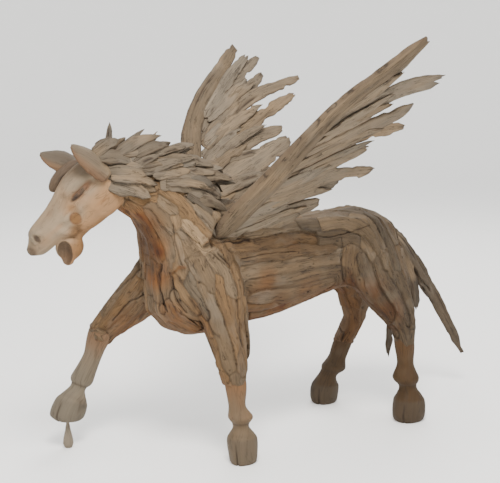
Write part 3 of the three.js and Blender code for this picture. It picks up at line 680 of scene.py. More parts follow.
def closed(points, quads):
    """Closes the open edge loops of a skin, each with a fan about its middle."""
    edges = np.stack([quads, np.roll(quads, -1, axis=1)], 2).reshape(-1, 2)
    key, back = edges @ [len(points), 1], edges @ [1, len(points)]
    follow = dict(edges[~np.isin(key, back)].tolist())
    faces, extra = quads.tolist(), []
    while follow:
        start = next(iter(follow))
        loop = [start]
        while loop[-1] in follow:
            step = follow.pop(loop[-1])
            if step == start:
                break
            loop.append(step)
        if len(loop) > 2:
            hub = len(points) + len(extra)
            extra.append(points[loop].mean(0))
            for a, b in zip(loop, loop[1:] + loop[:1]):
                faces.append([b, a, hub])
    if extra:
        points = np.vstack([points, extra])
    return points, faces, len(extra)


# The head, carved as a field of distances in its own frame: X along the muzzle, Y to the
# horse's left, Z to the brow, in hundredths

HEAD_PLACE = (-47, 2, 110)
HEAD_YAW, HEAD_PITCH = math.radians(168), math.radians(37.2)


def head_frame():
    cy, sy = math.cos(HEAD_YAW), math.sin(HEAD_YAW)
    cp, sp = math.cos(HEAD_PITCH), math.sin(HEAD_PITCH)
    turn = np.array([[cy, -sy, 0], [sy, cy, 0], [0, 0, 1]])
    tip = np.array([[cp, 0, sp], [0, 1, 0], [-sp, 0, cp]])
    return turn @ tip


HEAD_TURN = head_frame()


def on_head(points):
    return at(HEAD_PLACE) + (np.asarray(points, float) @ HEAD_TURN.T) * HUNDREDTH


def egg(q, centre, halves, tilt=0.0, axes=None):
    """Distance to an egg. tilt turns it about Y, or axes gives its three directions."""
    rel = [q[i] - centre[i] for i in range(3)]
    if axes is None:
        c, s = math.cos(tilt), math.sin(tilt)
        axes = [(c, 0, s), (0, 1, 0), (-s, 0, c)]
    x, y, z = (sum(axis[i] * rel[i] for i in range(3)) for axis in axes)
    a, b, c = halves
    near = np.sqrt((x / a) ** 2 + (y / b) ** 2 + (z / c) ** 2)
    slope = np.sqrt((x / a**2) ** 2 + (y / b**2) ** 2 + (z / c**2) ** 2)
    return near * (near - 1) / np.maximum(slope, 1e-6)


def rod(q, start, end, thick, thin):
    """Distance to a rod that goes from one radius to another."""
    start, end = np.array(start, float), np.array(end, float)
    line = end - start
    rel = [q[i] - start[i] for i in range(3)]
    share = np.clip(sum(rel[i] * line[i] for i in range(3)) / (line @ line), 0, 1)
    gap = np.sqrt(sum((rel[i] - line[i] * share) ** 2 for i in range(3)))
    return gap - (thick + (thin - thick) * share)


def join(first, second, blend):
    share = np.clip(0.5 + 0.5 * (second - first) / blend, 0, 1)
    return second + (first - second) * share - blend * share * (1 - share)


def carve(first, second, blend):
    return -join(-first, second, blend)


# The skull from the poll to the lips: place, top, bottom and half width
SKULL = [
    (-4, 4.4, -12.0, 4.9), (-1.5, 6.4, -13.4, 5.7), (1, 7.3, -13.6, 6.0), (6, 7.4, -13.6, 6.0),
    (10, 6.8, -13.5, 5.8), (13.5, 5.4, -13.2, 5.2), (17.4, 3.8, -11.8, 4.4), (20, 2.9, -10.4, 4.0),
    (22.5, 2.2, -10.0, 3.7), (26, 1.4, -9.6, 3.5), (29, 0.8, -9.6, 3.4), (30.6, 0.2, -9.6, 3.3),
    (32.2, -1.4, -9.3, 2.9), (33.8, -3.1, -8.2, 2.3), (35.4, -4.4, -6.4, 1.5),
]

# The hollow of the lower jaw, which faces forwards and to the left
BOWL, BOWL_SIZE = (27.0, 3.5, -13.2), (4.8, 3.0, 3.5)
BOWL_AXES = [(0.56, -0.15, -0.81), (-0.7, 0.45, -0.56), (0.44, 0.88, 0.14)]


def comma(q):
    """Distance to the hole of a nostril."""
    return join(rod(q, (31.4, 4.2, -4.8), (30.2, 4.3, -2.9), 0.7, 1.1),
                rod(q, (30.2, 4.3, -2.9), (30.9, 4.0, -0.4), 1.1, 0.4), 0.4)


def built(field, q, parts):
    """A field after its parts. Each is joined or carved, and says its kind, how softly it
    blends and its sizes."""
    for way, kind, blend, *sizes in parts:
        field = way(field, kind(q, *sizes), blend)
    return field


def head_field(q):
    x, y, z = q
    marks, *columns = curve_through(SKULL, np.linspace(0, 1, 160)).T
    top, low, half = (np.interp(x, marks, column) for column in columns)
    middle, tall = (top + low) / 2, (top - low) / 2
    rise = (z - middle) / tall
    half = half * (1 - 0.36 * ease(rise, 0.15, 1.1)) * (1 - 0.08 * ease(-rise, 0.4, 1.1))
    power = 2.4 + 1.6 * (1 - ease(x, 14, 24))
    squared = ((np.abs(y) / half) ** power + np.abs(rise) ** power) ** (1 / power)
    field = (squared - 1) * np.minimum(half, tall) * 0.9
    field = np.maximum(field, x - SKULL[-1][0])
    # The cheeks end behind in a sharp edge, and a stump goes on into the neck
    field = np.maximum(field, -1.0 + 0.1 * z - x)
    field = join(field, rod(q, (-6, 0, -4.4), (3, 0, -3.6), 3.9, 4.6), 0.2)
    for side, flare in ((1, 1.9), (-1, 1.2)):
        field = built(field, (x, y * side, z), [
            # The flat cheek, its crest that runs to the muzzle, and the brow over the eye
            (join, egg, 0.8, (4.2, 4.6, -6.4), (6.6, 2.0, 6.6)),
            (join, rod, 1.6, (10, 5.0, -3.4), (19, 3.9, -4.2), 1.1, 0.5),
            (join, rod, 2.2, (1.6, 4.3, 3.4), (12.8, 4.0, 2.6), 1.4, 1.0),
            (carve, rod, 0.6, (4.0, 6.4, 1.2), (13.4, 5.8, 0.0), 1.2, 1.0),
            (join, egg, 0.25, (9.0, 4.75, 0.4), (3.9, 1.15, 0.9), -0.1),
            (carve, rod, 0.3, (11.6, 5.9, -0.1), (13.6, 5.3, -0.5), 0.45, 0.2),
            # The fold at the corner of the mouth
            (join, rod, 1.4, (23.6, 2.9, -5.4), (19.4, 3.6, -9.9), 1.0, 0.8),
            (carve, rod, 0.3, (24.4, 4.3, -7.2), (20.8, 4.9, -11.2), 0.45, 0.35),
            # The nostril, a comma with a raised rim before it
            (join, egg, 0.8, (30.0, 2.2, -2.6), (2.2, flare, 2.4), 0.2),
            (carve, comma, 0.2),
            (carve, rod, 0.4, (34.4, 2.6, -6.6), (26.6, 4.2, -7.2), 0.3, 0.3),
        ])
    field = built(field, q, [
        (join, egg, 0.7, (33.8, 0, -6.2), (2.0, 2.0, 1.6), 0.4),
        (join, rod, 0.35, (32.0, 3.0, -3.8), (31.7, 3.1, -1.4), 0.45, 0.4),
        # The far brow, a rough wedge behind the crack along the forehead
        (join, egg, 0.3, (8.8, -4.2, 6.0), (7.2, 2.6, 3.2), -0.12),
        (carve, rod, 0.2, (2.0, -0.7, 8.8), (16.6, -2.0, 4.4), 0.5, 0.25),
        # The mouth
        (carve, rod, 0.4, (33, 0, -13.2), (23.4, 0, -10.3), 1.9, 0.5),
    ])
    # The lower jaw with its hollow
    jaw = built(rod(q, (9, 0, -10.0), (19, 0, -11.2), 3.0, 2.7), q, [
        (join, egg, 1.2, (23.4, 0.4, -13.4), (5.0, 4.0, 4.6), 0.3),
        (join, rod, 0.8, (24.2, 1.0, -14.4), (26.7, 1.2, -16.2), 3.7, 2.2),
        (carve, egg, 0.25, BOWL, BOWL_SIZE, 0, BOWL_AXES),
    ])
    return join(field, jaw, 0.5)


def surface_net(field, low, step):
    """The skin where a grid of distances changes sign, as points and quads."""
    inside = field < 0
    shape = np.array(field.shape) - 1
    corners = [np.array([c & 1, c >> 1 & 1, c >> 2 & 1]) for c in range(8)]
    count = sum(inside[tuple(slice(c[i], c[i] + shape[i]) for i in range(3))].astype(np.int8)
                for c in corners)
    cells = np.argwhere((count > 0) & (count < 8))
    index = np.full(shape, -1)
    index[tuple(cells.T)] = np.arange(len(cells))
    total, hits = np.zeros((len(cells), 3)), np.zeros(len(cells))
    for first in corners:
        for axis in range(3):
            if first[axis]:
                continue
            second = first + np.eye(3, dtype=int)[axis]
            f0, f1 = field[tuple((cells + first).T)], field[tuple((cells + second).T)]
            crossed = (f0 < 0) != (f1 < 0)
            share = f0[crossed] / (f0[crossed] - f1[crossed])
            total[crossed] += first + share[:, None] * (second - first)
            hits[crossed] += 1
    points = low + step * (cells + total / hits[:, None])
    quads = []
    for axis in range(3):
        b, c = (axis + 1) % 3, (axis + 2) % 3
        near = [slice(None, -1) if i == axis else slice(1, -1) for i in range(3)]
        far = [slice(1, None) if i == axis else slice(1, -1) for i in range(3)]
        change = inside[tuple(near)] != inside[tuple(far)]
        spots = np.argwhere(change) + [0 if i == axis else 1 for i in range(3)]
        out = inside[tuple(spots.T)]
        eb, ec = np.eye(3, dtype=int)[b], np.eye(3, dtype=int)[c]
        ring = np.stack([index[tuple((spots - k).T)] for k in (0 * eb, eb, eb + ec, ec)], 1)
        ring[~out] = ring[~out][:, ::-1]
        quads.append(ring)
    return points, np.vstack(quads)


def relaxed(points, quads, rounds):
    """Moves each point towards the middle of its neighbours, then back a little."""
    edges = np.vstack([quads[:, [0, 1]], quads[:, [1, 2]], quads[:, [2, 3]], quads[:, [3, 0]]])
    edges = np.vstack([edges, edges[:, ::-1]])
    degree = np.bincount(edges[:, 0], minlength=len(points))[:, None]
    for _ in range(rounds):
        for pull in (0.5, -0.51):
            middle = np.stack([np.bincount(edges[:, 0], points[edges[:, 1], i], len(points))
                               for i in range(3)], 1) / np.maximum(degree, 1)
            points = points + pull * (middle - points)
    return points


def quad_normals(points, quads):
    a, b, c, d = (points[quads[:, k]] for k in range(4))
    cross = np.cross(c - a, d - b)
    return unit(np.stack([sum(np.bincount(quads[:, k], cross[:, i], len(points)) for k in range(4))
                          for i in range(3)], 1))


def oval_of(points):
    """How far points are from the ring of the oval that is cut into each cheek."""
    x, y, z = points.T
    ring = np.abs(np.hypot((x - 16.1) / 0.87, (z + 5.7) / 1.05) - 2.0)
    return np.where(np.abs(y) > 2, ring, 9)


def head_tint(points):
    """The colours of the carved head, which follow the photograph's stains, with painted shade on the brow
    and poll, the far brow, the back of the head, the grooves, the nostril and the hollow of the jaw.
    """
    x, y, z = points.T

    # A patchy mark, used for stains and for painted shade in the nostril and the eye's slit
    def stain_and_shade(distance, inner, outer, strength, rough, seed):
        worn = ease(noise(points, rough, seed), -1.1, 0.1)
        return strength * worn * (1 - ease(distance, inner, outer))

    def spot(px, pz, wide, tall, slope=0.0):
        """How far points of the near and far sides are from an oval's middle, in its sizes."""
        away = np.hypot((x - px) / wide, (z - pz - slope * (x - px)) / tall)
        return np.where(np.abs(y) > 2, away, 9)

    nostril = np.where(np.abs(y) < 3.9, spot(30.5, -2.7, 1.2, 2.3), 9)
    bowl = (points - BOWL) @ np.array(BOWL_AXES).T / BOWL_SIZE
    streaks = 0.5 + 0.5 * noise(bowl * [1.2, 5, 1], 1.0, 70)
    beyond = ease(-y - 0.7 - 0.09 * (x - 2) + 0.2 * noise(points, 2, 57), 0, 0.5)
    wedge = beyond * ease(z + 0.12 * x, 2.6, 4.0) * (1 - ease(x, 15, 18)) * ease(x, -2, 1)
    split = np.abs(y + 0.7 + 0.09 * (x - 2) + 0.1 * noise(points, 1.5, 58))
    line = (1 - ease(split, 0.15, 0.6)) * ease(z + 0.25 * x, 5.0, 6.4) * (1 - ease(x, 15.6, 17.5))
    return layered(
        HEAD_PALE,
        (HEAD_WARM, ease(noise(points, 5, 53), -0.6, 0.8) * 0.6),
        (HEAD_WARM, 0.85 * ease(-z - 0.45 * x, -3.0, 4.0) * (1 - ease(x, 19, 24))),
        (ORANGE, 0.7 * ease(-z, 9.5, 14.5) * ease(noise(points, 4, 61), -0.9, 0.5)),
        (ORANGE, 0.35 * ease(noise(points * [0.4, 1, 1], 2.2, 54), 0.2, 0.9)),
        (HEAD_GREY, 0.6 * ease(z + 0.3 * x, 3.0, 8.0) * ease(x, 8, 18)),
        # Painted shade on the brow and the poll, about the feet of the ears
        (mixed(UMBER, GREY_TAN, 0.45), 0.8 * ease(z - 0.45 * x, -2.2, 3.4)),
        (mixed(RUSSET, TAN, 0.5), 0.6 * ease(-x, -2.6, 0.4) * ease(z, -3, 0)),
        (HEAD_GREY, 0.5 * ease(x, 26, 33)),
        # The eye, with painted shade in its carved slit
        (RUSSET, stain_and_shade(spot(8.9, 0.7, 6.0, 1.9, -0.09), 0.5, 1.15, 0.85, 1.6, 55)),
        (UMBER, stain_and_shade(spot(9.8, 0.4, 4.4, 1.2, -0.1), 0.5, 1.1, 0.95, 0.9, 60)),
        (CRACK * 1.6, stain_and_shade(spot(11.9, 0.0, 2.2, 0.8, -0.1), 0.4, 1.1, 0.9, 1.2, 67)),
        (HEAD_GREY * 0.92, stain_and_shade(spot(8.4, 3.0, 5.4, 1.5, -0.07), 0.4, 1.2, 0.85, 3, 68)),
        # The oval in the cheek, and the stains about it
        (OCHRE, stain_and_shade(spot(16.1, -5.7, 2.2, 2.7), 0.6, 1.15, 1.0, 40, 62)),
        (RUSSET, stain_and_shade(oval_of(points), 0.05, 0.42, 0.75, 2.0, 56)),
        (OCHRE, stain_and_shade(spot(14.6, -2.4, 2.0, 3.6, 0.3), 0.3, 1.1, 0.6, 2.0, 69)),
        (OCHRE * 0.62, stain_and_shade(spot(18.4, -9.6, 3.6, 3.6), 0.3, 1.1, 0.85, 2.0, 63)),
        (OCHRE, 0.75 * ease(-z, 10.5, 13.5) * ease(x, 4, 9) * (1 - ease(x, 23, 26))),
        # The nostril, the lips and the hollow of the jaw, with painted shade in the nostril and in the
        # hollow, the hollow's with streaks
        (CRACK * 1.5, stain_and_shade(nostril, 0.5, 0.95, 0.9, 3, 64)),
        (UMBER, stain_and_shade(np.hypot(x - 35.2, z + 5.6), 1.2, 2.6, 0.85, 2.0, 65)),
        (mixed(UMBER * 0.85, UMBER * 1.6, streaks), 0.97 * nearness(bowl, 0, 1, 0.98, 1.06)),
        # Painted shade on the far brow, which faces away from the light, in the crack before it, and at the
        # back of the head
        (UMBER * 1.1, 0.9 * wedge),
        (CRACK, 0.85 * line),
        (UMBER, 0.6 * ease(-x, 1.0, 2.4)),
    )


HEAD_STEP = 0.26
HEAD_LOW, HEAD_HIGH = np.array([-11.0, -9.0, -21.0]), np.array([38.0, 9.0, 11.5])


def carved_head(material):
    grid = np.meshgrid(*(np.arange(low, high, HEAD_STEP) for low, high in zip(HEAD_LOW, HEAD_HIGH)),
                       indexing="ij")
    points, quads = surface_net(head_field(grid), HEAD_LOW, HEAD_STEP)
    points = relaxed(points, quads, 2)
    code = points * HUNDREDTH
    lift = 0.05 * noise(code * [0.12, 1, 1], 0.012, 51) + 0.09 * noise(points, 3.5, 52)
    lift += 0.05 * noise(points, 1.2, 59) - 0.16 * bump(oval_of(points), 0.22)
    places = on_head(points + quad_normals(points, quads) * lift[:, None])
    make_piece("carved_head", places, quads.tolist(), head_tint(points), code, material,
               ["head"])


# Each ear: its foot, middle and tip and what its hollow faces, in the head's frame, its
# width and its tone
EARS = {
    "left_ear": [(-3.2, 5.4, -1.2), (-1.2, 6.6, 7.6), (1.7, 6.8, 15.4), (0.7, -0.71, -0.05), 10.4,
                 mixed(GREY_TAN, TAN, 0.3) * 0.58],
    # The far ear's tone is darker, with umber: painted shade
    "right_ear": [(2.6, -4.4, 5.4), (5.9, -5.4, 11.2), (10, -7.4, 16.8), (0.5, -0.85, -0.2), 9.0,
                  mixed(GREY_TAN, UMBER, 0.4) * 0.56],
}
EAR_OUTLINE = [(0, 0.7, 0.8, 1), (0.2, 0.9, 0.98, 0.92), (0.45, 1, 1, 0.82), (0.7, 0.74, 0.8, 0.72),
               (0.88, 0.42, 0.5, 0.648), (1, 0.16, 0.2, 0.6)]


def ears(material):
    for number, (name, (foot, middle, tip, facing, width, tone)) in enumerate(EARS.items()):
        bundle = Bundle()
        plank(bundle, on_head([foot, middle, tip]), unit(HEAD_TURN @ facing), EAR_OUTLINE, width,
              11 * MM, 301 + number, tone, EAR_STEPS, EAR_SIDES, cup=0.2, wear=0.45, splits=1)
        points = bundle.points[0]
        turn = (np.arange(EAR_SIDES) + 0.5) / EAR_SIDES * 2 * math.pi
        inner = np.tile(np.sin(turn) > 0, EAR_STEPS)
        height = points[:, 2].reshape(EAR_STEPS, EAR_SIDES)
        fall = (height.mean(1, keepdims=True) - height) / (np.ptp(height, axis=1)[:, None] + MM)
        # The hollow side is reddish, and the lower edge of each ear gets the same dark red-brown as painted
        # shade under it
        hollow_and_underside_shade = np.maximum(0.6 * inner * ease(noise(points, 0.03, 91), -0.9, 0.3),
                            0.5 * ease(fall, 0.05, 0.4).ravel())
        bundle.tints[0] = mixed(bundle.tints[0], mixed(RUSSET, ORANGE, 0.3) * 0.8, hollow_and_underside_shade)
        bundle.piece(name + "_leaf", material, "pale_carved_wood", [name])


# Wings. A wing's own frame runs along its spar, back across its feathers, and out.
WING_ROOT = (-4, 12, 87)
WING_ALONG = (0.549, 0.472, 0.69)
WING_BEHIND = (0.836, -0.341, -0.431)
WING_OUT = (0.032, 0.813, -0.581)
SPAR_LINES = {
    LEFT: [(-3, 0), (12, -1.6), (28, -3), (44, -5.4), (62, -6.6), (82, -3.4), (102, -0.4)],
    RIGHT: [(-3, 0), (14, -3.4), (31, -6), (44, -8), (60, -7), (79, -2.4), (94, 1)],
}
SPAR_WIDTHS = {LEFT: 10.4, RIGHT: 9.2}
SPAR_OUTLINE = [(0, 0.4, 0.4, 0.75), (0.03, 0.75, 0.75, 0.9), (0.12, 1, 1, 1), (0.32, 1, 1, 1),
                (0.5, 0.84, 0.8, 0.85), (0.68, 0.78, 0.74, 0.75), (0.86, 0.66, 0.66, 0.6),
                (0.96, 0.62, 0.56, 0.55), (1, 0.52, 0.48, 0.5)]
# Feathers, across the wing's own frame: foot, tip, width, bow away from the spar, and how
# ragged the tip is
FEATHERS = {
    LEFT: [
        [(52, -2.4), (96.4, 1), 6, 0.6, 0.05], [(46, -2), (95.6, 25.3), 9.6, -6.2, 0.1],
        [(40, 1), (80.4, 23.4), 10, 0, 0.08], [(33, 2.5), (72.8, 33.4), 7, -6, 0.08],
        [(28, 4), (58.4, 25.4), 8, -1.5, 0.12], [(21, 3), (52.8, 38.6), 8, -3.6, 0.1],
        [(14, 4), (40, 31), 9, -1.4, 0.12], [(6, 5), (30.6, 31), 9.6, 0.6, 0.1],
        [(0, 7), (22, 26), 9, 0, 0.1], [(26, 2), (52, 17), 8.6, 0.6, 0.1],
        [(13, 3), (35, 18), 8, -0.6, 0.1],
    ],
    RIGHT: [
        [(50, -5), (92.2, 6.6), 5.4, -0.6, 0.06], [(44, -4), (95.4, 12.4), 5.6, -1.6, 0.1],
        [(38, -2), (88.2, 16.2), 6, -1, 0.1], [(36, -1), (94.2, 32.4), 5.8, -5.4, 0.05],
        [(28, 1), (85.4, 32), 6.6, -1.4, 0.08], [(22, 2), (65.6, 30.6), 7.6, -4, 0.12],
        [(16, 3), (60.4, 34), 9.6, 0.6, 0.08], [(9, 3), (42, 31), 10, -0.4, 0.1],
        [(3, 6), (28, 28), 9, 0, 0.1], [(22, 0), (50, 12), 8, -0.5, 0.1],
        [(12, 2), (34, 18), 8, -0.5, 0.1],
    ],
}
# Smaller planks that lie over the feathers, on both wings: foot, tip, width and bow
COVERTS = [
    [(58, -4), (86, 3.5), 4.4, 0], [(50, -3), (78, 9), 5, 0], [(42, -2), (68, 10), 5.6, -1],
    [(36, -1), (62, 14), 5.4, -1], [(30, -1), (52, 12), 5.6, 0], [(22, 0), (46, 15), 6, 0],
    [(16, 0), (38, 13), 5.6, 0.6], [(9, 0), (30, 14), 6, 0.6], [(2, 1), (24, 16), 6, 0],
    [(-3, 3), (18, 20), 6.4, 0], [(26, 5), (48, 24), 5, -1], [(16, 6), (38, 27), 5, -1],
    [(6, 7), (28, 27), 5, 0], [(42, 3), (70, 20), 5, -1.4], [(52, 2), (80, 14), 4.6, -1.4],
    [(34, 4), (60, 22), 4.4, -1.2], [(0, 9), (20, 25), 5, 0],
]
FEATHER_OUTLINE = [(0, 0.9, 0.9, 0.7), (0.1, 1, 1, 0.9), (0.35, 1.15, 1.15, 1),
                   (0.72, 0.9, 0.86, 0.85), (0.9, 0.74, 0.7, 0.7), (1, 0.58, 0.52, 0.5)]
COVERT_OUTLINE = [(0, 0.5, 0.5, 0.05), (0.14, 0.85, 0.85, 0.6), (0.4, 1.1, 1.1, 1),
                  (0.75, 0.9, 0.86, 0.85), (0.92, 0.6, 0.56, 0.5), (1, 0.3, 0.3, 0.2)]


def on_wing(side, points, out=0.0):
    mirror = np.array([1, side, 1])
    along, behind, outward = (np.array(v) * mirror for v in (WING_ALONG, WING_BEHIND, WING_OUT))
    points = np.asarray(points, float)
    flat = HUNDREDTH * (points[:, :1] * along + points[:, 1:] * behind)
    return at(np.array(WING_ROOT) * mirror) + flat + out * outward


def feather_line(foot, tip, bow):
    foot, tip = np.array(foot, float), np.array(tip, float)
    chord = unit(tip - foot)
    return [foot, (foot + tip) / 2 + bow * np.array([-chord[1], chord[0]]), tip]


def wing(side, material):
    name, dark = ("left", 0.9) if side == LEFT else ("right", 0.76)
    facing = np.array(WING_OUT) * [1, side, 1]
    chance = np.random.default_rng(90 + side)
    spar = Bundle()
    plank(spar, on_wing(side, SPAR_LINES[side]), facing, SPAR_OUTLINE, SPAR_WIDTHS[side], 42 * MM,
          120 + side, mixed(GREY_TAN, TAN, 0.6) * 0.76 * dark, *SPAR_DENSITY, fray=0.02,
          wear=0.55, splits=1, boxy=0.7)
    spar.piece(f"{name}_spar_plank", material, "weathered_driftwood", [f"{name}_wing_spar"])

    feathers = Bundle()

    def feather(foot, tip, bow, layer, outline, width, thickness, seed, density, fray):
        tone = mixed(mixed(GREY_TAN, TAN, chance.uniform(0, 0.9)), SILVER, chance.uniform(0, 0.7))
        plank(feathers, on_wing(side, feather_line(foot, tip, bow), layer), facing, outline, width,
              thickness, seed, tone * chance.uniform(0.9, 1.2) * dark, *density, fray=fray,
              lean=chance.uniform(-0.1, 0.1))

    for number, (foot, tip, width, bow, ragged) in enumerate(FEATHERS[side]):
        layer = ((number % 3) - 1) * 7 * MM
        feather(foot, tip, bow, layer, FEATHER_OUTLINE, width, 14 * MM, 400 + 20 * side + number,
                FEATHER_DENSITY, 0.2 * ragged + 0.03)
    for number, (foot, tip, width, bow) in enumerate(COVERTS):
        for face in (1, -1):
            jitter = chance.uniform(-1.4, 1.4, 4)
            start, end = np.array(foot) + jitter[:2], np.array(tip) + jitter[2:] * [2, 1]
            layer = face * (9 + 3 * (number % 2)) * MM
            feather(start, end, bow, layer, COVERT_OUTLINE, width * chance.uniform(0.7, 1.15), 9 * MM,
                    600 + 40 * side + 2 * number + face, COVERT_DENSITY, 0.1)
    feathers.piece(f"{name}_wing_planks", material, "weathered_driftwood",
                   [f"{name}_feather_{number + 1}" for number in range(len(FEATHERS[side]))])


# The mane: foot, tip and width of the locks that make its outline
MANE = [
    [(-50, 1, 112), (-43, 2, 123), 6], [(-42.6, 3, 113), (-41.2, 3, 128.4), 3],
    [(-45, 0, 113), (-27.2, 2, 125), 3.8], [(-38, 0, 112), (-22.4, 0.6, 124.2), 4.2],
    [(-36, -4.4, 110), (-12, -5, 117.2), 6], [(-30, 4, 108), (-8, 3, 117.4), 7],
    [(-28, -8.6, 106), (-4, -9, 104.6), 5.4], [(-22, 6.6, 107), (3.4, 7, 105.6), 7],
    [(-46, 2, 114), (-35, 2, 122.4), 5], [(-33, 1, 113), (-17, 1, 119.6), 6],
    [(-26, 2, 113), (-10, 1, 114.6), 6], [(-20, 2, 111), (-2, 2, 110), 6],
    [(-14, 0, 109), (4, -1, 103), 6.4], [(-10, 2, 107), (6, 2, 99), 6.4],
    [(-46, -4, 107.8), (-31, -9.6, 101.4), 6.8], [(-47.4, -3.2, 111), (-32.4, -8, 109.6), 5.6],
    [(-49, -2, 116.6), (-34.4, -6, 113.6), 5.4], [(-48, -2, 114.6), (-29.4, -5, 117.4), 5],
    [(-50, -1.6, 117.6), (-39.9, -2.4, 122), 4.6], [(-45, -4.4, 109.6), (-28, -8.6, 106), 5.4],
]
# The crest's upper and lower edges, between which the small locks start
MANE_TOP = [(-47, -1.5, 117), (-36, -2.5, 117.4), (-24, -3, 115), (-12, -3.5, 112), (-4, -4, 106)]
MANE_FOOT = [(-41, -4, 110.5), (-33, -6.4, 109.5), (-26, -8, 105.5), (-18, -9.4, 99.5), (-13, -12, 92)]
LEFT_LOCKS, SMALL_LOCKS = 48, 78


def mane(material):
    bundle = Bundle()
    chance = np.random.default_rng(77)

    def lock(start, tip, width, thickness, number, facing, density, blunt=0.1):
        outline = [(0, 0.8, 0.8, 0.4), (0.3, 1, 1, 1), (0.6, 0.9, 0.8, 0.9), (0.85, 0.56, 0.48, 0.6),
                   (1, blunt, 0.8 * blunt, 0.25)]
        tone = mixed(mixed(GREY_TAN, SILVER, chance.uniform(0.2, 1)), TAN, chance.uniform(0, 0.5))
        middle = (start + tip) / 2 + [0, 0, chance.uniform(0.2, 1.4)]
        plank(bundle, at([start, middle, tip]), unit(facing), outline, width, thickness, 800 + number,
              tone * chance.uniform(0.46, 0.76), *density, fray=0.06,
              splits=int(chance.integers(1, 3)), lean=chance.uniform(-0.35, 0.35))

    for number, (foot, tip, width) in enumerate(MANE):
        facing = np.array([0, 1 if foot[1] > 0 else -1, 0.35])
        lock(np.array(foot, float), np.array(tip, float), width, 15 * MM, number, facing,
             LOCK_DENSITY)
    for number in range(SMALL_LOCKS):
        side = LEFT if number < LEFT_LOCKS else RIGHT
        along, down = chance.uniform(0, 1), chance.uniform(0, 1)
        top, foot = (curve_through(edge, np.array([along]))[0] for edge in (MANE_TOP, MANE_FOOT))
        start = (top + (foot - top) * down) * [1, -side, 1] + [0, side * chance.uniform(0.3, 1.8), 0]
        slope = math.radians(14 - 62 * along * (0.35 + 0.65 * down) + chance.uniform(-14, 14))
        length = chance.uniform(11, 21) * (1 - 0.45 * ease(along, 0.6, 1.0))
        course = np.array([math.cos(slope), side * chance.uniform(0.02, 0.16), math.sin(slope)])
        lock(start, start + length * course, chance.uniform(3.2, 5.8), chance.uniform(8, 12) * MM,
             40 + number, np.array([0, side, 0.4]), SMALL_LOCK_DENSITY, chance.uniform(0.15, 0.5))
    bundle.piece("mane_planks", material, "weathered_driftwood",
                 [f"mane_lock_{number}" for number in range(1, 9)])


# The tail: middle line and width
TAIL = [
    [[(80, 0, 79.6), (92, 0, 72), (104, 0, 58.6), (118, 0, 39.6), (134.2, 0, 13.6)], 6.2],
    [[(82, 2.4, 76), (93, 3, 68), (103, 3.4, 52), (104.6, 3.4, 42)], 4.4],
    [[(82, -2.6, 77), (92, -3.2, 66), (98.4, -3.4, 54), (101, -3.4, 40.8)], 5],
    [[(83, 0, 73), (90, 0.6, 62), (95.6, 0.6, 48), (97, 0.4, 37.4)], 4.4],
    [[(83, 4.6, 72), (89.4, 5, 58), (93.6, 5, 40), (92.8, 5, 18.4)], 4.2],
    [[(81, -1.8, 79.8), (92, -2.4, 71.6), (103, -2.6, 57.6), (110, -2.4, 47)], 3],
    [[(80, -3.4, 78), (88, -4.4, 68), (92, -4.6, 56), (94, -4.4, 46)], 3.4],
    [[(81, 1.6, 79.4), (94, 1.8, 69.4), (106, 1.8, 54), (113, 1.6, 43)], 2.8],
]
TAIL_OUTLINE = [(0, 0.9, 0.9, 0.9), (0.3, 1, 1, 1), (0.75, 0.9, 0.85, 0.8), (0.93, 0.78, 0.72, 0.6),
                (1, 0.5, 0.46, 0.4)]


def tail(material):
    bundle = Bundle()
    chance = np.random.default_rng(78)
    for number, (line, width) in enumerate(TAIL):
        tone = mixed(mixed(SILVER, UMBER, chance.uniform(0.5, 0.9)), TAN, chance.uniform(0.1, 0.35)) * 0.5
        plank(bundle, at(line), (0, 1, 0), TAIL_OUTLINE, width, 17 * MM, 900 + number,
              tone, *TAIL_DENSITY, fray=0.03, splits=3, lean=chance.uniform(-0.25, 0.25))
    bundle.piece("tail_planks", material, "weathered_driftwood",
                 [f"tail_slab_{number}" for number in range(1, 6)])


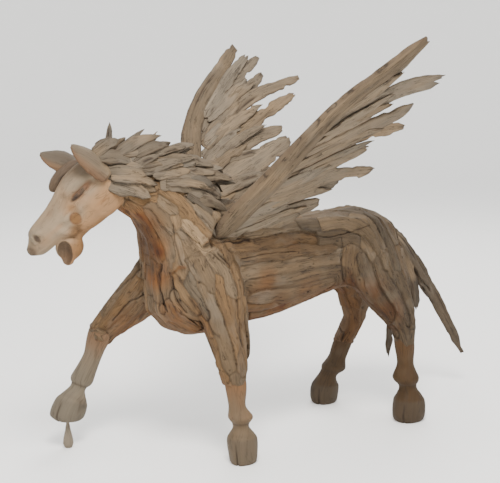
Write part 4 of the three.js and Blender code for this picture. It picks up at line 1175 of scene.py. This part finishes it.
# The carved lower legs. Each row is [front x, front z, back x, back z, middle y, half
# width]: stump, shin, fetlock, crease, top of the hoof, its belly and its sole. After the
# rows come the tone, how much orange it shows, and its slot.
LOWER_LEGS = {
    "left_fore_lower_leg": ([
        (-5.8, 34, 0.4, 34, -17.7, 3.1), (-6, 28.6, 1.2, 28.6, -18.1, 3.5),
        (-5.1, 22.4, 1.2, 22.4, -18.3, 3), (-5.1, 18.2, 3.6, 18.2, -18.5, 4.2),
        (-3.5, 14.2, 2.6, 14.2, -18.5, 2.9), (-5.6, 9.6, 5.8, 9.6, -18.5, 5.1),
        (-5.1, 3.4, 6.2, 3.4, -18.5, 5), (-4.4, 0, 5.5, 0, -18.5, 4.5),
    ], paint(92, 77, 58), 0.4, "weathered_driftwood"),
    "right_fore_lower_leg": ([
        (-38.4, 48.2, -31.6, 44.8, 25, 3.4), (-39.9, 42.5, -32.6, 39.4, 26.8, 3.6),
        (-40.9, 37, -34.2, 34.6, 28.2, 3), (-44.4, 28.6, -36.8, 25.4, 31, 4),
        (-45, 24.8, -39.4, 22.2, 31.6, 3), (-50.6, 20.2, -38.4, 15.8, 32.6, 4.7),
        (-53, 14.6, -39.6, 11.8, 33, 4.8), (-51.4, 11.8, -41.6, 10.3, 33, 3.9),
    ], paint(101, 91, 76), 0.12, "weathered_driftwood"),
    "left_hind_lower_leg": ([
        (78.3, 35, 84.6, 35, -16.9, 3.2), (78, 29, 85.4, 29, -17.6, 3.6),
        (78.2, 24, 85, 24, -18.1, 3.4), (76.4, 18.4, 86.6, 18.4, -18.7, 5),
        (79, 14.2, 86, 14.2, -19, 3.5), (77, 8.6, 89.6, 8.6, -19, 6),
        (76.4, 3, 90.4, 3, -19, 6), (77.4, 0, 89.6, 0, -19, 5.4),
    ], paint(56, 39, 17), 0.05, "dark_carved_wood"),
    "right_hind_lower_leg": ([
        (78, 31.8, 82.4, 30.4, 17.2, 2.2), (73.8, 25.2, 81, 23.2, 17.9, 3.6),
        (72.2, 20, 79.2, 18.2, 18.5, 3.6), (69.4, 16.2, 78.8, 13.6, 19, 4.6),
        (67.6, 13.2, 74.6, 10.8, 19, 3.4), (63.6, 7.8, 75.2, 7, 19, 5.3),
        (62.8, 3, 75, 3, 19, 5.3), (63.6, 0, 74.4, 0, 19, 4.7),
    ], paint(60, 45, 27), 0.04, "dark_carved_wood"),
}

# The rows of the fetlock, the crease and the top of the hoof, and how far round the leg the
# slit of the hoof is
FETLOCK, CREASE, HOOF_TOP, SLIT_TURN = 3.0, 3.6, 5.0, 0.59


def lower_legs(material):
    walls, caps = tube(LEG_RINGS, LEG_SIDES)
    for number, (node, (stations, tone, warm, slot)) in enumerate(LOWER_LEGS.items()):
        step, turn = (grid.ravel() for grid in np.meshgrid(
            np.linspace(0, len(stations) - 1, LEG_RINGS), np.arange(LEG_SIDES) / LEG_SIDES, indexing="ij"))
        fx, fz, bx, bz, my, half = curve_through(stations, step / (len(stations) - 1)).T
        ahead, aside = (np.sign(way) * np.abs(way) ** 0.92
                        for way in (np.cos(2 * math.pi * turn), np.sin(2 * math.pi * turn)))
        across, along = (turn - SLIT_TURN) * math.pi * (half + (bx - fx) / 2), step * 5.4
        code = np.stack([along, across, along * 0 + number * 7], 1) * HUNDREDTH
        rim = step - HOOF_TOP + 0.25 + 0.1 * np.cos(2 * math.pi * (turn - SLIT_TURN))
        slit = bump(across + 0.12 * noise(code, 0.03, 63), 0.2) * ease(step, HOOF_TOP - 0.1, HOOF_TOP + 0.3)
        check = bump(noise(code * [0.1, 1, 1], 0.016, 64), 0.07) * ease(noise(code, 0.05, 65), 0.2, 0.6)
        lift = 0.09 * noise(code * [0.12, 1, 1], 0.01, 61) + 0.16 * noise(code, 0.05, 62)
        lift += 0.22 * bump(step - FETLOCK, 0.3) - 0.12 * bump(step - CREASE, 0.12)
        lift += 0.08 * bump(rim - 0.16, 0.2) - 0.05 * bump(rim + 0.06, 0.09)
        lift += 0.75 * (1 - ease(step, 0.1, 1.3)) - 0.35 * ease(step, 6.8, 7)
        lift -= (0.35 + 0.75 * ease(step, HOOF_TOP, 7)) * slit + 0.14 * check
        reach = np.hypot(bx - fx, bz - fz) / 2
        swell = (reach + lift) / reach
        points = at(np.stack([(fx + bx) / 2 + ahead * swell * (bx - fx) / 2, my + aside * (half + lift),
                              (fz + bz) / 2 + ahead * swell * (bz - fz) / 2], 1))
        points[:, 2] = np.maximum(points[:, 2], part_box(node)[0].z)
        # Painted shade in the crease over the hoof, along its rim, in the slit and in the checks; darker at
        # the sole
        crease = bump(step - CREASE, 0.16) + 0.3 * bump(rim + 0.06, 0.12)
        worn = 1 - ease(step + 0.4 * noise(code, 0.03, 69), 0.5, 2.2)
        tint = layered(
            tone,
            (ORANGE, warm * ease(noise(code, 0.08, 66 + number) - 0.25 * (step - 2), -0.5, 0.8)),
            (mixed(tone, SILVER * 0.35, 0.4), 0.8 * ease(step, HOOF_TOP - 0.3, HOOF_TOP)),
            (UMBER * 0.6, np.clip(0.45 * crease + 0.4 * ease(step, 6.75, 7), 0, 1)),
            (ORANGE * 0.6, (0.6 if "fore" in node else 0.08) * worn),
            (CRACK, np.clip(0.9 * slit + 0.5 * check, 0, 1)))
        make_piece(node.replace("lower_leg", "carved_leg"), points, walls + caps, tint,
                   code * [0.8, 0.55, 1], material, [node])


def prop(material):
    points, _, faces = smooth_form(["hoof_prop"], 3.4 * MM, 2, 0.4 * MM)
    points[:, 2] = np.maximum(points[:, 2], 0)
    tint = np.tile(mixed(GREY_TAN, SILVER, 0.6), (len(points), 1))
    make_piece("turned_prop", points, faces, tint, points[:, [2, 0, 1]], material,
               ["hoof_prop"])


# Materials

def wood(name, fine, rough, relief):
    """Weathered wood: the tint that the mesh carries, crossed by fine grain that runs along
    each slab, with pores, dark hairlines, bleached patches and a relief of its own."""
    material = bpy.data.materials.new(name)
    material.use_nodes = True
    tree = material.node_tree
    tree.nodes.clear()

    def node(kind, inputs, output, **settings):
        made = tree.nodes.new("ShaderNode" + kind)
        for key, value in settings.items():
            setattr(made, key, value)
        for key, value in inputs.items():
            if isinstance(value, bpy.types.NodeSocket):
                tree.links.new(value, made.inputs[key])
            else:
                made.inputs[key].default_value = value
        return made.outputs[output] if output else made

    grain = node("Attribute", {}, "Vector", attribute_name="grain")

    def textured(scale, size, detail, roughness=0.6, distortion=0.0):
        place = node("Mapping", {"Scale": scale, "Vector": grain}, "Vector")
        return node("TexNoise", {"Scale": size, "Detail": detail, "Roughness": roughness,
                                 "Distortion": distortion, "Vector": place}, "Fac")

    def ranged(value, low, high, to_low, to_high):
        return node("MapRange", {"Value": value, "From Min": low, "From Max": high,
                                 "To Min": to_low, "To Max": to_high}, "Result")

    def maths(kind, first, second=0.0):
        return node("Math", {0: first, 1: second}, "Value", operation=kind)

    fibres = textured((4, 150, 20), 1.6, 6, 0.7, 0.35)
    bands = textured((3, 46, 20), 1.4, 4, 0.55, 0.6)
    patches = textured((10, 18, 9), 1.2, 5)
    pores = textured((26, 300, 60), 1.0, 2, 0.5)
    hairs = textured((4.5, 60, 20), 1.5, 3, 0.55, 0.3)
    hair = ranged(maths("ABSOLUTE", maths("SUBTRACT", hairs, 0.5)), 0.004, 0.022, 1 - 3.2 * fine, 1.0)
    cover = textured((8, 20, 14), 1.3, 3)
    hair = maths("MAXIMUM", hair, ranged(cover, 0.47, 0.56, 0.0, 1.0))
    strength = ranged(fibres, 0.34, 0.66, 1 - fine, 1 + 0.6 * fine)
    for share in (ranged(bands, 0.36, 0.64, 1 - 0.7 * fine, 1 + 0.5 * fine),
                  ranged(patches, 0.35, 0.65, 1 - 0.6 * fine, 1 + 0.5 * fine),
                  ranged(pores, 0.28, 0.4, 1 - 1.2 * fine, 1.0), hair):
        strength = maths("MULTIPLY", strength, share)
    tint = node("Attribute", {}, "Color", attribute_name="tint")
    scaled = node("VectorMath", {0: tint, "Scale": strength}, "Vector", operation="SCALE")
    bleach = ranged(textured((5, 9, 5), 1.1, 3), 0.52, 0.72, 0, 1.6 * fine)
    colour = node("Mix", {"Factor": bleach, "A": scaled, "B": (*SILVER, 1)}, "Result", data_type="RGBA")
    height = maths("ADD", maths("MULTIPLY", fibres, 1.2), maths("ADD", bands, maths("MULTIPLY", pores, 0.4)))
    height = maths("ADD", height, maths("MULTIPLY", hair, 0.6))
    shader = node("BsdfPrincipled", {
        "Base Color": colour,
        "Roughness": ranged(bands, 0.3, 0.7, rough - 0.08, min(1.0, rough + 0.1)),
        "Specular IOR Level": 0.3,
        "Normal": node("Bump", {"Strength": relief, "Distance": 1.8 * MM, "Height": height}, "Normal"),
    }, "BSDF")
    node("OutputMaterial", {"Surface": shader}, None)
    return material


driftwood = wood("weathered_driftwood", 0.22, 0.85, 0.75)
carved = wood("pale_carved_wood", 0.09, 0.74, 0.25)
planks = wood("split_driftwood", 0.2, 0.85, 0.7)

body_slabs(driftwood)
carved_head(carved)
ears(carved)
lower_legs(carved)
prop(carved)
mane(planks)
tail(planks)
wing(LEFT, planks)
wing(RIGHT, planks)


# The stage: a pale floor that curves up far behind on every side, soft light, and the
# camera of the photograph

FLOOR_PROFILE = [(0.001, 0), (3, 0), (6, 0), (7.6, 0.25), (8.8, 1.1), (9.5, 2.6), (9.8, 4.5), (9.9, 8)]
FLOOR_RINGS, FLOOR_SIDES = 60, 96


def floor():
    material = bpy.data.materials.new("floor")
    material.use_nodes = True
    shader = material.node_tree.nodes["Principled BSDF"]
    shader.inputs["Base Color"].default_value = (0.9, 0.9, 0.89, 1)
    shader.inputs["Roughness"].default_value = 0.9
    rings = curve_through(FLOOR_PROFILE, np.linspace(0, 1, FLOOR_RINGS))
    turns = np.linspace(0, 2 * math.pi, FLOOR_SIDES, endpoint=False)
    points = [(radius * math.cos(turn), radius * math.sin(turn), max(0.0, height))
              for radius, height in rings for turn in turns]
    walls, _ = tube(FLOOR_RINGS, FLOOR_SIDES)
    scene_object("floor", smooth_mesh("floor", points, walls, material))


def aimed(name, data, place, target):
    made = scene_object(name, data)
    made.location = place
    made.rotation_euler = (Vector(target) - Vector(place)).to_track_quat("-Z", "Y").to_euler()
    return made


def lamp(name, place, size, power, colour):
    data = bpy.data.lights.new(name, "AREA")
    data.size, data.energy, data.color = size, power, colour
    aimed(name, data, place, (0, 0, 0.7))


CAMERA_PLACE = (-2176 * MM, -3325 * MM, 1519 * MM)
CAMERA_TARGET = (0.0, -218 * MM, 782 * MM)
FOCAL_PIXELS, PHOTO_WIDTH = 1176, 500


def camera():
    data = bpy.data.cameras.new("camera")
    data.sensor_width = 36
    data.lens = FOCAL_PIXELS / PHOTO_WIDTH * data.sensor_width
    bpy.context.scene.camera = aimed("camera", data, ORIGIN + CAMERA_PLACE, ORIGIN + CAMERA_TARGET)


def sky():
    world = bpy.data.worlds.new("studio")
    world.use_nodes = True
    background = world.node_tree.nodes["Background"]
    background.inputs["Color"].default_value = (1.0, 1.0, 1.0, 1)
    background.inputs["Strength"].default_value = 1.5
    bpy.context.scene.world = world


floor()
sky()
lamp("key", (-1.6, -2.2, 4.4), 1.5, 320, (1.0, 0.96, 0.91))
lamp("back", (2.4, 2.6, 3.6), 2.6, 120, (1.0, 0.98, 0.95))
camera()
